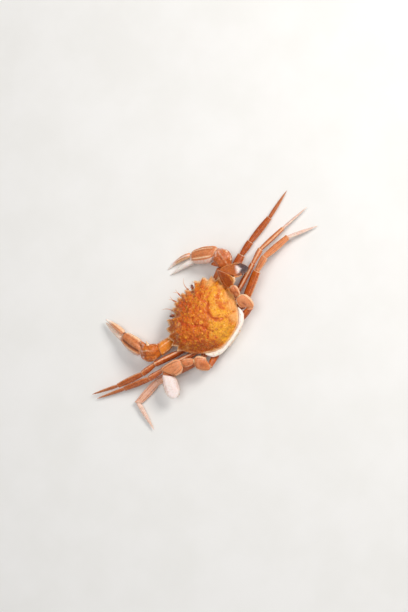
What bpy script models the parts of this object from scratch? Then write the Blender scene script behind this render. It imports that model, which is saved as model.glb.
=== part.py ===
"""A cooked swimming crab that lies on its underside with limp legs.

The frame is in metres, with +Z up, +Y out of the crab's mouth and +X to the crab's own right.
The origin is on the flat of the tail flap, where the crab rests.
Sizes below are in millimetres and are turned into metres as each mesh is made.
"""

import math

import bmesh
import bpy
from mathutils import Matrix, Vector

MM = 0.001
GAP = 0.3  # room left between neighbouring pieces

# Body: the back shell, and the thorax under it that carries the limbs
SHELL_WIDTH = 62.0  # between the tips of the last side teeth
SHELL_LENGTH = 49.4  # from the middle front tooth to the back edge
SHELL_MIDDLE_Y = 1.0
RIM_Z = 13.8
DOME_RISE = 12.7  # of the back above the rim
SEAM_Z = 11.1  # between thorax and shell
BELLY_Z = 1.4  # lowest part of the thorax, over the tail flap
THORAX_HALF = Vector((17.4, 22.2))

SIDE_TEETH = 5
WIDEST_Y = 3.2  # where the last side tooth stands
SIDE_ARC = (33.0, 90.0)  # of the ellipse that the side teeth stand on, in degrees from the front
TOOTH_NOTCH = 0.905  # how far in a notch lies, as a share of that ellipse
EYE = Vector((12.7, 21.7, 13.5))
EYE_RADIUS = 2.1
ORBIT_RADIUS = 2.9

# Where each pair of limbs leaves the thorax, on the right side
HIPS = {
    "claw": Vector((17.9, 10.0, 6.4)),
    "leg2": Vector((18.2, 1.6, 6.6)),
    "leg3": Vector((18.3, -5.2, 6.6)),
    "leg4": Vector((17.6, -12.0, 6.8)),
    "swim": Vector((13.8, -20.2, 6.8)),
}

# Each kind of limb, from the body outwards: segment, length, width and thickness
WALKING = (
    ("base", 7.0, 5.4, 4.8),
    ("thigh", 27.0, 6.8, 4.2),
    ("knee", 11.5, 5.4, 4.1),
    ("shin", 22.0, 5.2, 3.4),
    ("tip", 23.0, 3.5, 2.4),
)
CLAW = (
    ("base", 6.5, 6.8, 6.2),
    ("arm", 15.0, 9.0, 7.6),
    ("wrist", 12.5, 12.4, 9.4),
    ("hand", 19.0, 12.4, 8.6),
)
SWIMMING = (
    ("base", 13.2, 5.2, 4.6),
    ("thigh", 11.8, 10.0, 5.0),
    ("knee", 8.8, 6.4, 4.4),
    ("shin", 14.0, 10.4, 3.6),
    ("paddle", 20.5, 11.8, 1.9),
)

# How the limbs lie. Each segment has a heading, from 0 straight ahead over 90 out to its own side,
# a rise above the level, and a roll: at 0 its width stands upright, and at 90 it lies flat.
POSES = {
    ("claw", "right"): ((86, 9, 0), (95, 16, 60), (19, 5, 80), (-44, -17, 88)),
    ("claw", "left"): ((79, 9, 0), (76, 19, 60), (41, -3, 60), (0, -12, 55)),
    ("leg2", "right"): ((83, 3, 0), (80, -7, 80), (88, -2, 80), (93, -2, 80), (87, -2, 80)),
    ("leg3", "right"): ((109, 12, 0), (84, 4, 15), (83, 3, 15), (100, -12, 20), (102, -9, 30)),
    ("leg4", "right"): ((131, 13, 0), (78, 9, 70), (82, 1, 60), (102, -15, 70), (123, -12, 60)),
    ("leg2", "left"): ((113, 8, 0), (63, 13, 10), (71, -5, 20), (59, -13, 40), (52, -13, 40)),
    ("leg3", "left"): ((110, 17, 0), (64, 6, 10), (66, -7, 20), (55, -14, 40), (54, -7, 40)),
    ("leg4", "left"): ((107, 0, 0), (60, -8, 60), (62, -1, 80), (82, -1, 80), (158, -2, 80)),
    ("swim", "right"): ((101, 27, 0), (10, 24, 78), (19, 13, 70), (17, 4, 55), (140, -8, 62)),
    ("swim", "left"): ((101, 23, 0), (18, 19, 80), (48, 7, 80), (59, -4, 84), (145, -14, 80)),
}

# Middle line of each finger: how far beyond the palm, and how far across it
FINGERS = {
    ("right", "movable"): ((1.8, 2.3), (12.0, 2.6), (22.9, -4.6)),
    ("right", "fixed"): ((0.9, -2.3), (11.0, -4.9), (21.3, -8.6)),
    ("left", "movable"): ((1.8, 2.3), (12.0, 3.2), (22.4, 1.9)),
    ("left", "fixed"): ((0.9, -2.3), (11.0, -2.2), (21.4, 0.0)),
}
WRIST_BULGE = 1.8
WRIST_SPINE = {"right": (-40, -12), "left": (-10, 12)}  # heading and rise
WRIST_SPINE_LENGTH = 4.6

# Width of a segment along its length, as pairs of place and share of the full width
LIMB_OUTLINES = {
    "base": ((0, 0.42), (0.12, 0.80), (0.35, 1.0), (0.75, 0.92), (0.93, 0.70), (1, 0.40)),
    "thigh": ((0, 0.34), (0.03, 0.62), (0.12, 0.80), (0.35, 0.97), (0.65, 1.0), (0.9, 0.92), (0.98, 0.68), (1, 0.4)),
    "arm": ((0, 0.30), (0.05, 0.56), (0.2, 0.74), (0.5, 0.92), (0.78, 1.0), (0.93, 0.84), (1, 0.46)),
    "knee": ((0, 0.36), (0.08, 0.64), (0.35, 0.84), (0.75, 1.0), (0.94, 0.78), (1, 0.42)),
    "wrist": ((0, 0.34), (0.1, 0.66), (0.35, 0.95), (0.62, 1.0), (0.86, 0.84), (1, 0.42)),
    "hand": ((0, 0.30), (0.05, 0.58), (0.15, 0.86), (0.34, 1.0), (0.62, 0.96), (0.86, 0.83), (0.97, 0.70)),
    "shin": ((0, 0.36), (0.05, 0.68), (0.2, 0.92), (0.45, 1.0), (0.8, 0.88), (0.96, 0.66), (1, 0.38)),
    "tip": ((0, 0.36), (0.05, 0.78), (0.2, 0.94), (0.42, 0.86), (0.68, 0.60), (0.9, 0.28), (1, 0.08)),
    "paddle": ((0, 0.22), (0.06, 0.42), (0.2, 0.76), (0.42, 0.98), (0.6, 1.0), (0.8, 0.80), (0.94, 0.44), (1, 0.14)),
}
OVERRUN = 0.22  # how far segments would run past their joints before the mitre, per thickness
THIN_END = {"paddle": 0.55}  # thickness that is left at the far end; other segments follow the width
SIDES = {"leg": 8, "swim": 10, "claw": 12}

SHELL_ORANGE = (0.72, 0.24, 0.05)
LIMB_ORANGE = (0.60, 0.21, 0.07)
PALE_UNDERSIDE = (0.80, 0.58, 0.40)
PADDLE_PALE = (0.80, 0.62, 0.52)
EYE_BROWN = (0.10, 0.02, 0.012)


def clear_scene():
    for item in list(bpy.data.objects):
        bpy.data.objects.remove(item, do_unlink=True)


def make_material(name, colour, roughness):
    """A Principled material in the cooked shell's colour."""
    material = bpy.data.materials.new(name)
    material.use_nodes = True
    shader = material.node_tree.nodes["Principled BSDF"]
    shader.inputs["Base Color"].default_value = (*colour, 1.0)
    shader.inputs["Roughness"].default_value = roughness
    shader.inputs["Metallic"].default_value = 0.0
    return material


def superellipse(half_x, half_y, power, count, centre=(0.0, 0.0)):
    """Points of a rounded oblong, anticlockwise from +X. A power of 2 gives an ellipse."""
    points = []
    for i in range(count):
        turn = math.tau * (i + 0.5) / count
        c, s = math.cos(turn), math.sin(turn)
        x = half_x * math.copysign(abs(c) ** (2 / power), c)
        y = half_y * math.copysign(abs(s) ** (2 / power), s)
        points.append((centre[0] + x, centre[1] + y))
    return points


def lofted_mesh(name, rings):
    """One closed skin over rings of equal count, capped at both ends. Rings are in millimetres."""
    bm = bmesh.new()
    loops = []
    for ring in rings:
        verts = [bm.verts.new(Vector(point) * MM) for point in ring]
        count = len(verts)
        loops.append([bm.edges.new((verts[i], verts[(i + 1) % count])) for i in range(count)])
    for lower, upper in zip(loops, loops[1:]):
        bmesh.ops.bridge_loops(bm, edges=lower + upper)
    bmesh.ops.contextual_create(bm, geom=loops[0])
    bmesh.ops.contextual_create(bm, geom=loops[-1])
    bmesh.ops.recalc_face_normals(bm, faces=bm.faces)
    mesh = bpy.data.meshes.new(name)
    bm.to_mesh(mesh)
    bm.free()
    mesh.shade_smooth()
    mesh.set_sharp_from_angle(angle=math.radians(50))
    return mesh


def add_piece(name, mesh, material, parent, placing=None):
    mesh.materials.append(material)
    piece = bpy.data.objects.new(name, mesh)
    bpy.context.scene.collection.objects.link(piece)
    piece.parent = parent
    if placing is not None:
        piece.matrix_world = placing
    return piece


def side_ellipse(degrees, share=1.0):
    """A point of the ellipse that the side teeth stand on, at an angle from the front."""
    turn = math.radians(degrees)
    half_y = (EYE.y + 0.6 - WIDEST_Y) / math.cos(math.radians(SIDE_ARC[0]))
    return (
        share * SHELL_WIDTH / 2 * math.sin(turn),
        WIDEST_Y + share * half_y * math.cos(turn),
    )


def front_teeth():
    """The right half of the five small teeth between the eyes, from the middle outwards."""
    tip_y = SHELL_MIDDLE_Y + SHELL_LENGTH / 2
    return [(0.0, tip_y), (1.9, tip_y - 2.0), (4.1, tip_y - 0.5), (6.1, tip_y - 2.6), (8.2, tip_y - 1.5)]


def orbit():
    """The round notch that an eye sits in."""
    points = []
    for degrees in range(195, 350, 30):
        turn = math.radians(degrees)
        points.append((EYE.x + ORBIT_RADIUS * math.cos(turn), EYE.y + ORBIT_RADIUS * math.sin(turn)))
    return points


def side_teeth():
    """The saw edge at the side of the shell: each tooth points forwards and has a long outer edge."""
    first, last = SIDE_ARC
    step = (last - first) / (SIDE_TEETH - 1)
    points = []
    for tooth in range(SIDE_TEETH):
        tip = first + tooth * step
        if tooth:
            points.append(side_ellipse(tip - 0.26 * step, TOOTH_NOTCH))
        points.append(side_ellipse(tip))
        points.append(side_ellipse(tip + 0.38 * step, 0.965))
    return points


def back_edge():
    """From behind the last side tooth, round the back corner, to the middle of the back edge."""
    start = Vector((SHELL_WIDTH / 2 - 2.6, WIDEST_Y - 3.4))
    bend = Vector((SHELL_WIDTH / 2 - 6.6, -12.0))
    corner = Vector((14.4, -20.2))
    points = []
    for i in range(7):
        t = i / 6
        at = start * (1 - t) ** 2 + bend * 2 * t * (1 - t) + corner * t**2
        points.append((at.x, at.y))
    back_y = SHELL_MIDDLE_Y - SHELL_LENGTH / 2
    for x in (10.6, 5.6, 0.0):
        points.append((x, back_y + 3.4 * (x / 14.4) ** 3))
    return points


def shell_outline():
    """The whole rim of the shell, clockwise from the middle front tooth."""
    right = front_teeth() + orbit() + side_teeth() + back_edge()
    left = [(-x, y) for x, y in reversed(right[1:-1])]
    return right + left


def smoothed(outline, passes):
    """The same ring of points with its teeth rounded away."""
    points = [Vector(p) for p in outline]
    count = len(points)
    for _ in range(passes):
        points = [
            (points[i - 1] + points[i] * 2 + points[(i + 1) % count]) / 4 for i in range(count)
        ]
    return [(p.x, p.y) for p in points]


def level_ring(outline, share, z):
    """The outline drawn in towards the middle of the shell, at a height."""
    return [(x * share, SHELL_MIDDLE_Y + (y - SHELL_MIDDLE_Y) * share, z) for x, y in outline]


def make_carapace(material, parent):
    """The shell over the back, from its seam with the thorax, over the toothed rim, to the crown."""
    rim = shell_outline()
    soft = smoothed(rim, 8)
    rings = [
        level_ring(smoothed(rim, 3), 0.80, SEAM_Z + GAP),
        level_ring(rim, 0.955, RIM_Z - 1.1),
        level_ring(rim, 1.0, RIM_Z),
        level_ring(smoothed(rim, 1), 0.975, RIM_Z + 1.0),
    ]
    for share in (0.90, 0.78, 0.62, 0.44, 0.26, 0.10):
        rings.append(level_ring(soft, share, RIM_Z + DOME_RISE * (1 - share**2.4) ** 0.85))
    add_piece("carapace", lofted_mesh("carapace", rings), material, parent)


def make_thorax(material, parent):
    """The fused plates of the underside, which carry the limbs at their sides."""
    levels = (
        # height, share of the full width and length
        (BELLY_Z, 0.66, 0.78),
        (BELLY_Z + 1.7, 0.87, 0.93),
        (6.0, 0.98, 1.0),
        (9.0, 1.0, 1.0),
        (SEAM_Z, 0.97, 0.96),
    )
    rings = []
    for z, wide, long in levels:
        ring = superellipse(THORAX_HALF.x * wide, THORAX_HALF.y * long, 3.0, 40)
        rings.append([(x, y, z) for x, y in ring])
    add_piece("thorax", lofted_mesh("thorax", rings), material, parent)


def make_eye(side_name, side, material, parent):
    """A bulb on a short stalk that leans out of the shell."""
    stalk_foot = Vector((0.0, -0.6, -2.4))
    rings = [[(x, y + stalk_foot.y, stalk_foot.z) for x, y in superellipse(1.0, 1.0, 2, 10)]]
    for latitude in (-50, -20, 15, 50, 78):
        turn = math.radians(latitude)
        radius = EYE_RADIUS * math.cos(turn)
        z = 0.95 * EYE_RADIUS * math.sin(turn)
        rings.append([(x, y, z) for x, y in superellipse(radius, radius, 2, 10)])
    centre = Vector((side * EYE.x, EYE.y, EYE.z)) * MM
    mesh = lofted_mesh("eye", rings)
    add_piece("eye_" + side_name, mesh, material, parent, Matrix.Translation(centre))


def plate_along(name, path, sizes, up, material, parent, count=12):
    """A plate that follows a path. Sizes are its width and thickness at each point of the path."""
    rings = []
    for i, (centre, (width, thickness)) in enumerate(zip(path, sizes)):
        before, after = path[max(i - 1, 0)], path[min(i + 1, len(path) - 1)]
        along = (after - before).normalized()
        across = along.cross(up).normalized()
        out = across.cross(along)
        section = superellipse(width / 2, thickness / 2, 4, count)
        flat = max(v for _, v in section) * 2 / thickness
        rings.append([centre + across * u + out * v / flat for u, v in section])
    add_piece(name, lofted_mesh(name, rings), material, parent)


def make_tail(material, parent):
    """The tail: its first ring behind the shell, and the flap that is folded under the thorax.

    The flat middle of the flap is what the crab rests on."""
    thickness = 1.1
    flat = [Vector((0, y, thickness / 2)) for y in (10.0, 8.8, 5.6, -6.0, -14.0, -17.5)]
    rolled_up = [Vector((0, -21.6, 1.6)), Vector((0, -24.2, 4.4)), Vector((0, -25.2, 8.4)), Vector((0, -25.4, 11.8))]
    widths = (5.0, 11.0, 17.0, 21.0, 20.0, 19.0, 17.5, 15.5, 14.0, 13.0)
    sizes = [(width, thickness) for width in widths]
    plate_along("tail_flap", flat + rolled_up, sizes, Vector((0, 0, -1)), material, parent)

    half = [(20.9, -15.2), (19.9, -17.8), (17.6, -20.9), (12.8, -23.8), (6.6, -25.0), (0.0, -25.3)]
    path = [Vector((x, y, RIM_Z)) for x, y in half]
    path += [Vector((-at.x, at.y, at.z)) for at in reversed(path[:-1])]
    half_sizes = [(1.2, 0.8), (2.7, 1.6), (3.9, 2.2), (3.5, 2.4), (2.7, 2.4), (2.4, 2.4)]
    sizes = half_sizes + half_sizes[-2::-1]
    plate_along("tail_ring", path, sizes, Vector((0, 0, 1)), material, parent)


def make_mouth_plate(side_name, side, material, parent):
    """One of the two doors over the mouth, under the front of the shell."""
    x = side * 3.1
    path = [Vector((x, 18.9, 1.3)), Vector((x, 21.2, 2.2)), Vector((x, 23.2, 5.0)), Vector((x, 23.9, 8.4))]
    sizes = ((3.4, 1.0), (5.2, 1.0), (5.6, 1.0), (4.6, 1.0))
    plate_along("mouth_plate_" + side_name, path, sizes, Vector((0, 0, -1)), material, parent, count=8)


def direction(side, heading, rise):
    """A segment's direction from its pose."""
    out, up = math.radians(heading), math.radians(rise)
    return Vector((side * math.sin(out) * math.cos(up), math.cos(out) * math.cos(up), math.sin(up)))


def segment_axes(along, roll):
    """Rotation whose columns are the width, the thickness and the direction of a segment."""
    level = along.cross(Vector((0, 0, 1))).normalized()
    upright = level.cross(along)
    turn = math.radians(roll)
    width = upright * math.cos(turn) + level * math.sin(turn)
    return Matrix((width, along.cross(width), along)).transposed()


def segment_rings(kind, start, end, width, thickness, count):
    """Rings of a limb segment along its own Z, from start to end."""
    rings = []
    for place, share in LIMB_OUTLINES[kind]:
        thin = share * (1 - (1 - THIN_END[kind]) * place) if kind in THIN_END else share
        section = superellipse(width * share / 2, thickness * thin / 2, 2.4, count)
        z = start + place * (end - start)
        rings.append([(u, v, z) for u, v in section])
    return rings


def bulged(rings, way, length):
    """The same rings, pushed out to one side in the middle of the segment, as at an elbow."""
    moved = []
    for ring in rings:
        place = min(max(ring[0][2] / length, 0), 1)
        shift = way * WRIST_BULGE * math.sin(math.pi * place)
        moved.append([Vector(point) + shift for point in ring])
    return moved


def finger_rings(side_name, which, palm_length, count):
    """Rings of a tapering finger along its curved middle line, which lies in the hand's plane."""
    start, bend, tip = (Vector(point) for point in FINGERS[side_name, which])
    rings = []
    for t, half in ((0, 1.2), (0.06, 2.0), (0.2, 2.05), (0.4, 1.75), (0.65, 1.25), (0.87, 0.65), (1, 0.15)):
        if which == "fixed" and t == 0:
            continue
        middle = start * (1 - t) ** 2 + bend * 2 * t * (1 - t) + tip * t**2
        along = ((bend - start) * (1 - t) + (tip - bend) * t).normalized()
        across = Vector((-along.y, along.x))
        ring = []
        for u, v in superellipse(half, half * 1.2, 2.2, count):
            at = middle + across * u
            ring.append((at.y, v, palm_length + at.x))
        rings.append(ring)
    return rings


def hand_rings(side_name, start, width, thickness, length, count):
    """Rings of the palm, which runs on into the fixed finger."""
    palm = segment_rings("hand", start, length, width, thickness, count)
    return palm + finger_rings(side_name, "fixed", length, count)


def pull_spine(piece, toward, length):
    """Draws the face that looks most in a direction out into a spine."""
    bm = bmesh.new()
    bm.from_mesh(piece.data)
    sides = [face for face in bm.faces if len(face.verts) == 4]
    face = max(sides, key=lambda f: f.normal.dot(toward))
    tip = bmesh.ops.extrude_discrete_faces(bm, faces=[face])["faces"][0]
    middle = tip.calc_center_median()
    for vert in tip.verts:
        vert.co = middle + (vert.co - middle) * 0.12 + toward * length * MM
    bmesh.ops.recalc_face_normals(bm, faces=bm.faces)
    bm.to_mesh(piece.data)
    bm.free()


def cut_at_joint(mesh, point, normal):
    """Cuts off what lies on the far side of a joint's plane, and closes the cut."""
    bm = bmesh.new()
    bm.from_mesh(mesh)
    parts = bm.verts[:] + bm.edges[:] + bm.faces[:]
    cut = bmesh.ops.bisect_plane(
        bm, geom=parts, dist=1e-6, plane_co=point * MM, plane_no=normal, clear_outer=True
    )
    rim = [item for item in cut["geom_cut"] if isinstance(item, bmesh.types.BMEdge)]
    bmesh.ops.contextual_create(bm, geom=rim)
    bmesh.ops.recalc_face_normals(bm, faces=bm.faces)
    bm.to_mesh(mesh)
    bm.free()


def make_limb(limb, side_name, side, segments, materials, parent):
    """One limb as a chain of segments, each its own piece. Neighbours are mitred where they meet."""
    pose = POSES[limb, side_name]
    count = SIDES.get(limb, SIDES["leg"])
    at = Vector((side * HIPS[limb].x, HIPS[limb].y, HIPS[limb].z))
    ways = [direction(side, heading, rise) for heading, rise, _ in pose]
    last = len(segments) - 1
    for i, (kind, length, width, thickness) in enumerate(segments):
        axes = segment_axes(ways[i], pose[i][2])
        to_local = axes.transposed()
        overrun = OVERRUN * thickness
        start = -overrun if i else GAP / 2
        end = length + overrun if i < last else length
        if kind == "hand":
            rings = hand_rings(side_name, start, width, thickness, length, count)
        else:
            rings = segment_rings(kind, start, end, width, thickness, count)
        if kind == "wrist":
            outwards = to_local @ (ways[i - 1] - ways[i + 1])
            rings = bulged(rings, Vector((outwards.x, outwards.y, 0)).normalized(), length)
        name = f"{limb}_{side_name}_{kind}"
        mesh = lofted_mesh(name, rings)
        if i:
            halving = (to_local @ (ways[i - 1] + ways[i])).normalized()
            cut_at_joint(mesh, halving * GAP / 2, -halving)
        if i < last:
            halving = (to_local @ (ways[i] + ways[i + 1])).normalized()
            cut_at_joint(mesh, Vector((0, 0, length)) - halving * GAP / 2, halving)
        placing = Matrix.Translation(at * MM) @ axes.to_4x4()
        material = materials["paddle" if kind == "paddle" else "limb"]
        piece = add_piece(name, mesh, material, parent, placing)
        if kind == "wrist":
            pull_spine(piece, to_local @ direction(side, *WRIST_SPINE[side_name]), WRIST_SPINE_LENGTH)
        if kind == "hand":
            finger = lofted_mesh("finger", finger_rings(side_name, "movable", length, count))
            add_piece(f"{limb}_{side_name}_finger", finger, materials["limb"], parent, placing)
        at = at + ways[i] * length


def build_crab():
    materials = {
        "shell": make_material("cooked_shell", SHELL_ORANGE, 0.35),
        "limb": make_material("cooked_limb", LIMB_ORANGE, 0.38),
        "underside": make_material("pale_underside", PALE_UNDERSIDE, 0.45),
        "paddle": make_material("pale_paddle", PADDLE_PALE, 0.40),
        "eye": make_material("dark_eye", EYE_BROWN, 0.15),
    }
    crab = bpy.data.objects.new("crab", None)
    bpy.context.scene.collection.objects.link(crab)
    make_carapace(materials["shell"], crab)
    make_thorax(materials["underside"], crab)
    make_tail(materials["underside"], crab)
    for side_name, side in (("right", 1), ("left", -1)):
        make_eye(side_name, side, materials["eye"], crab)
        make_mouth_plate(side_name, side, materials["underside"], crab)
        make_limb("claw", side_name, side, CLAW, materials, crab)
        for leg in ("leg2", "leg3", "leg4"):
            make_limb(leg, side_name, side, WALKING, materials, crab)
        make_limb("swim", side_name, side, SWIMMING, materials, crab)


clear_scene()
build_crab()
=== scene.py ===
import math
import random

import bpy
import numpy as np
from mathutils import Matrix, Vector, noise
from mathutils.bvhtree import BVHTree


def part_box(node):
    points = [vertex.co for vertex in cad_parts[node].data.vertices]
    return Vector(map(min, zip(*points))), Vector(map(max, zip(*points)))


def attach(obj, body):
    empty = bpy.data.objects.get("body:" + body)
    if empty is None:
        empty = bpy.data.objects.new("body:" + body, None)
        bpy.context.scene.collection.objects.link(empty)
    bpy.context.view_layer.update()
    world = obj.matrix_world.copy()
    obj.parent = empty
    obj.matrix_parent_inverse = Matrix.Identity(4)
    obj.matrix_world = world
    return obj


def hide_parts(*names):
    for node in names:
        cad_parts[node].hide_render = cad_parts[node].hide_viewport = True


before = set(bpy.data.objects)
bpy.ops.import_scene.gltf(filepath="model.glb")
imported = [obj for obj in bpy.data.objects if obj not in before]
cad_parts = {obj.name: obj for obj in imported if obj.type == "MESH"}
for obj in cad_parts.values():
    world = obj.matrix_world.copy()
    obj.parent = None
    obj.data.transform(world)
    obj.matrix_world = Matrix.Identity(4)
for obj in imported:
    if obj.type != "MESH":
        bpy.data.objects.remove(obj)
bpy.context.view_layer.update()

mm = 0.001
jointGap = 0.3
sides = ("right", "left")
paintNames = ("pale", "dark", "skin", "tipward", "golden", "browned", "peach", "grey", "white")
print("frame loaded:", len(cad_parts), "nodes")


# Reading the frame: everything below works in millimetres

class CadNode:
    def __init__(self, item):
        self.points = [v.co / mm for v in item.data.vertices]
        self.tree = BVHTree.FromPolygons(self.points, [p.vertices for p in item.data.polygons])

    def distance(self, point):
        return self.tree.find_nearest(point)[3]

    def hit(self, start, way):
        return self.tree.ray_cast(start, way)[0]


cad = {name: CadNode(item) for name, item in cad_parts.items()}


def boxOf(name):
    low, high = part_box(name)
    return low / mm, high / mm


def middleOf(points):
    return sum(points, Vector()) / len(points)


def jointBetween(one, other):
    # the middle of the two flat ends that face each other
    meeting = []
    for near, far in ((one, other), (other, one)):
        meeting += [p for p in cad[near].points if cad[far].distance(p) < jointGap * 1.3]
    return middleOf(meeting)


def freeEnd(name, joint):
    way = (middleOf(cad[name].points) - joint).normalized()
    reach = max((p - joint).dot(way) for p in cad[name].points)
    return middleOf([p for p in cad[name].points if (p - joint).dot(way) > reach - 0.25])


def readSegment(name, start, end):
    # a segment's own axes and half sizes, from slices across it
    along = (end - start).normalized()
    length = (end - start).length
    side = along.orthogonal().normalized()
    up = along.cross(side)
    hits = []
    for place in (0.35, 0.5, 0.65, 0.78):
        centre = start + along * length * place
        for turn in np.arange(36) * math.tau / 36:
            hit = cad[name].hit(centre, side * math.cos(turn) + up * math.sin(turn))
            if hit:
                hits.append(hit - centre)
    flat = np.array([(h.dot(side), h.dot(up)) for h in hits])
    centred = flat - flat.mean(0)
    ways = np.linalg.eigh(centred.T @ centred)[1]
    wide = side * ways[0, 1] + up * ways[1, 1]
    thick = side * ways[0, 0] + up * ways[1, 0]
    if thick.z < 0:
        thick = -thick
    if wide.cross(thick).dot(along) < 0:
        wide = -wide
    return {
        "name": name, "start": start, "end": end, "along": along, "length": length,
        "wide": wide, "thick": thick, "halfWide": max(abs(h.dot(wide)) for h in hits),
        "halfThick": max(abs(h.dot(thick)) for h in hits),
    }


def readChain(names, lastJoint=None):
    # the segments from the body outwards; the last joint is given where a hand follows
    joints = [jointBetween(a, b) for a, b in zip(names, names[1:])]
    joints.insert(0, freeEnd(names[0], joints[0]))
    joints.append(lastJoint or freeEnd(names[-1], joints[-1]))
    return [readSegment(name, joints[i], joints[i + 1]) for i, name in enumerate(names)]


def setMitres(chain):
    # the plane that each joint lies in halves the bend
    for before, part, after in zip(chain[:1] + chain, chain, chain[1:] + chain[-1:]):
        part["startPlane"] = (before["along"] + part["along"]).normalized()
        part["endPlane"] = (after["along"] + part["along"]).normalized()


# Making meshes

def newItem(name, mesh, paint):
    # puts the painted values on the mesh's points, and the mesh into the scene
    for label, values in paint.items():
        if values.any():
            layer = mesh.attributes.new(label, "FLOAT", "POINT")
            layer.data.foreach_set("value", np.clip(values, 0, 1).astype(np.float32))
    mesh.shade_smooth()
    item = bpy.data.objects.new(name, mesh)
    bpy.context.scene.collection.objects.link(item)
    return item


class Skin:
    # gathers lofts with their painted values into one mesh
    def __init__(self):
        self.points = []
        self.faces = []
        self.paint = {name: [] for name in paintNames}
        self.count = 0

    def loft(self, grid, paint):
        # grid is rings x points around x 3, and both ends are closed
        rings, around = grid.shape[:2]
        points = [grid.reshape(-1, 3)]
        values = {}
        for name in paintNames:
            values[name] = [np.broadcast_to(paint.get(name, 0.0), (rings, around)).reshape(-1)]
        first = self.count
        r = np.arange(rings - 1)[:, None] * around
        a = np.arange(around)
        b = (a + 1) % around
        quads = np.stack([r + a, r + b, r + around + b, r + around + a], -1).reshape(-1, 4)
        faces = (quads + first).tolist()
        for hub, ring in enumerate((0, rings - 1)):
            points.append(grid[ring].mean(0)[None, :])
            base = ring * around
            for name in paintNames:
                values[name].append(values[name][0][base:base + around].mean(keepdims=True))
            for i in range(around):
                pair = [first + base + i, first + base + (i + 1) % around]
                faces.append((pair if hub else pair[::-1]) + [first + rings * around + hub])
        points = np.concatenate(points)
        if signedVolume(points, faces, first) < 0:
            faces = [face[::-1] for face in faces]
        self.points.append(points)
        self.faces += faces
        self.count += len(points)
        for name in paintNames:
            self.paint[name] += values[name]

    def build(self, name):
        mesh = bpy.data.meshes.new(name)
        mesh.from_pydata((np.concatenate(self.points) * mm).tolist(), [], self.faces)
        return newItem(name, mesh, {label: np.concatenate(values) for label, values in self.paint.items()})


def signedVolume(points, faces, first):
    triangles = [(f[0] - first, f[i] - first, f[i + 1] - first) for f in faces for i in range(1, len(f) - 1)]
    t = points[np.array(triangles)] - points.mean(0)
    return float(np.einsum("ij,ij->i", t[:, 0], np.cross(t[:, 1], t[:, 2])).sum())


def strongest(paint, name, *masks):
    # adds masks to a painted value, which keeps the strongest at each point
    for mask in masks:
        paint[name] = np.maximum(paint.get(name, 0.0), mask)


def smoothCurve(pairs, places):
    # a soft curve through (place, value) pairs
    xs, ys = np.array(pairs, float).T
    slopes = np.gradient(ys, xs)
    places = np.clip(places, xs[0], xs[-1])
    i = np.clip(np.searchsorted(xs, places) - 1, 0, len(xs) - 2)
    span = xs[i + 1] - xs[i]
    t = (places - xs[i]) / span
    start = (1 + 2 * t) * (1 - t) ** 2 * ys[i] + t * (1 - t) ** 2 * span * slopes[i]
    return start + t * t * (3 - 2 * t) * ys[i + 1] + t * t * (t - 1) * span * slopes[i + 1]


def relaxedLine(values):
    padded = np.concatenate([values[:1], values, values[-1:]])
    return (padded[:-2] + 2 * values + padded[2:]) / 4


def step(low, high, value):
    t = np.clip((value - low) / (high - low), 0, 1)
    return t * t * (3 - 2 * t)


def bell(value, centre, width):
    return np.exp(-(((value - centre) / width) ** 2))


def bellAt(turn, degrees, width):
    # a bell round an angle
    away = np.abs((turn - math.radians(degrees) + math.pi) % math.tau - math.pi)
    return bell(away, 0, math.radians(width))


def ripple(points, size, seed=0.0):
    # soft random waves, between about -0.7 and 0.7
    shift = Vector((seed * 7.3, seed * 3.1, seed * 5.7))
    flat = points.reshape(-1, 3)
    values = [noise.noise(Vector(p) / size + shift) for p in flat.tolist()]
    return np.array(values).reshape(points.shape[:-1])


def lumpy(grid, size, seed, height):
    # moves a loft's points outwards and inwards in soft waves
    outward = grid - grid.mean(1, keepdims=True)
    outward /= np.linalg.norm(outward, axis=-1, keepdims=True) + 1e-6
    return grid + outward * (ripple(grid, size, seed) * height)[..., None]


def beads(distance, pitch):
    return 0.5 + 0.5 * np.cos(math.tau * distance / pitch)


def superellipse(count, power):
    turn = math.tau * np.arange(count) / count
    c, s = np.cos(turn), np.sin(turn)
    return np.sign(c) * np.abs(c) ** (2 / power), np.sign(s) * np.abs(s) ** (2 / power), turn


def placed(part, z, u, v):
    # from a segment's own measures to the crab's frame
    axes = np.array([part["wide"], part["thick"], part["along"]])
    local = np.stack(np.broadcast_arrays(u, v, z), -1)
    return local @ axes + np.array(part["start"])


def mitred(part, z, u, v):
    # the same, with each ring's points slid along so that the ends lie in the joints' planes
    along = np.array(part["along"])
    offset = u[..., None] * np.array(part["wide"]) + v[..., None] * np.array(part["thick"])
    reach = 1.1 * part["halfWide"]
    for plane, away in (("startPlane", z), ("endPlane", part["length"] - z)):
        normal = np.array(part[plane])
        slant = -(offset @ normal) / (along @ normal)
        z = z + slant * (1 - step(0.0, 1.0, np.clip(away, 0, None) / reach))
    return placed(part, z, u, v)


def roundedEnds(z, length, radius, neck):
    share = np.ones_like(z)
    for away, r, n in zip((z, length - z), radius, neck):
        t = 1 - np.clip(away / r, 0, 1)
        share = share * (n + (1 - n) * np.sqrt(np.clip(1 - t * t, 0, 1)))
    return share


plainSegment = {  # what a segment has where its own look doesn't say
    "power": 2.5, "around": 60, "step": 0.4, "collar": 0.0, "keel": 0.0, "edgeWidth": 0.2, "edgeWash": 0.35,
    "ridgePale": 0.8, "lumps": 0.08, "lumpSize": 2.2, "heart": 0.0,
    "grooves": (), "ridges": (), "band": (0, 1, 0),  # place across, width, depth or strength, drift or pitch
}


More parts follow.
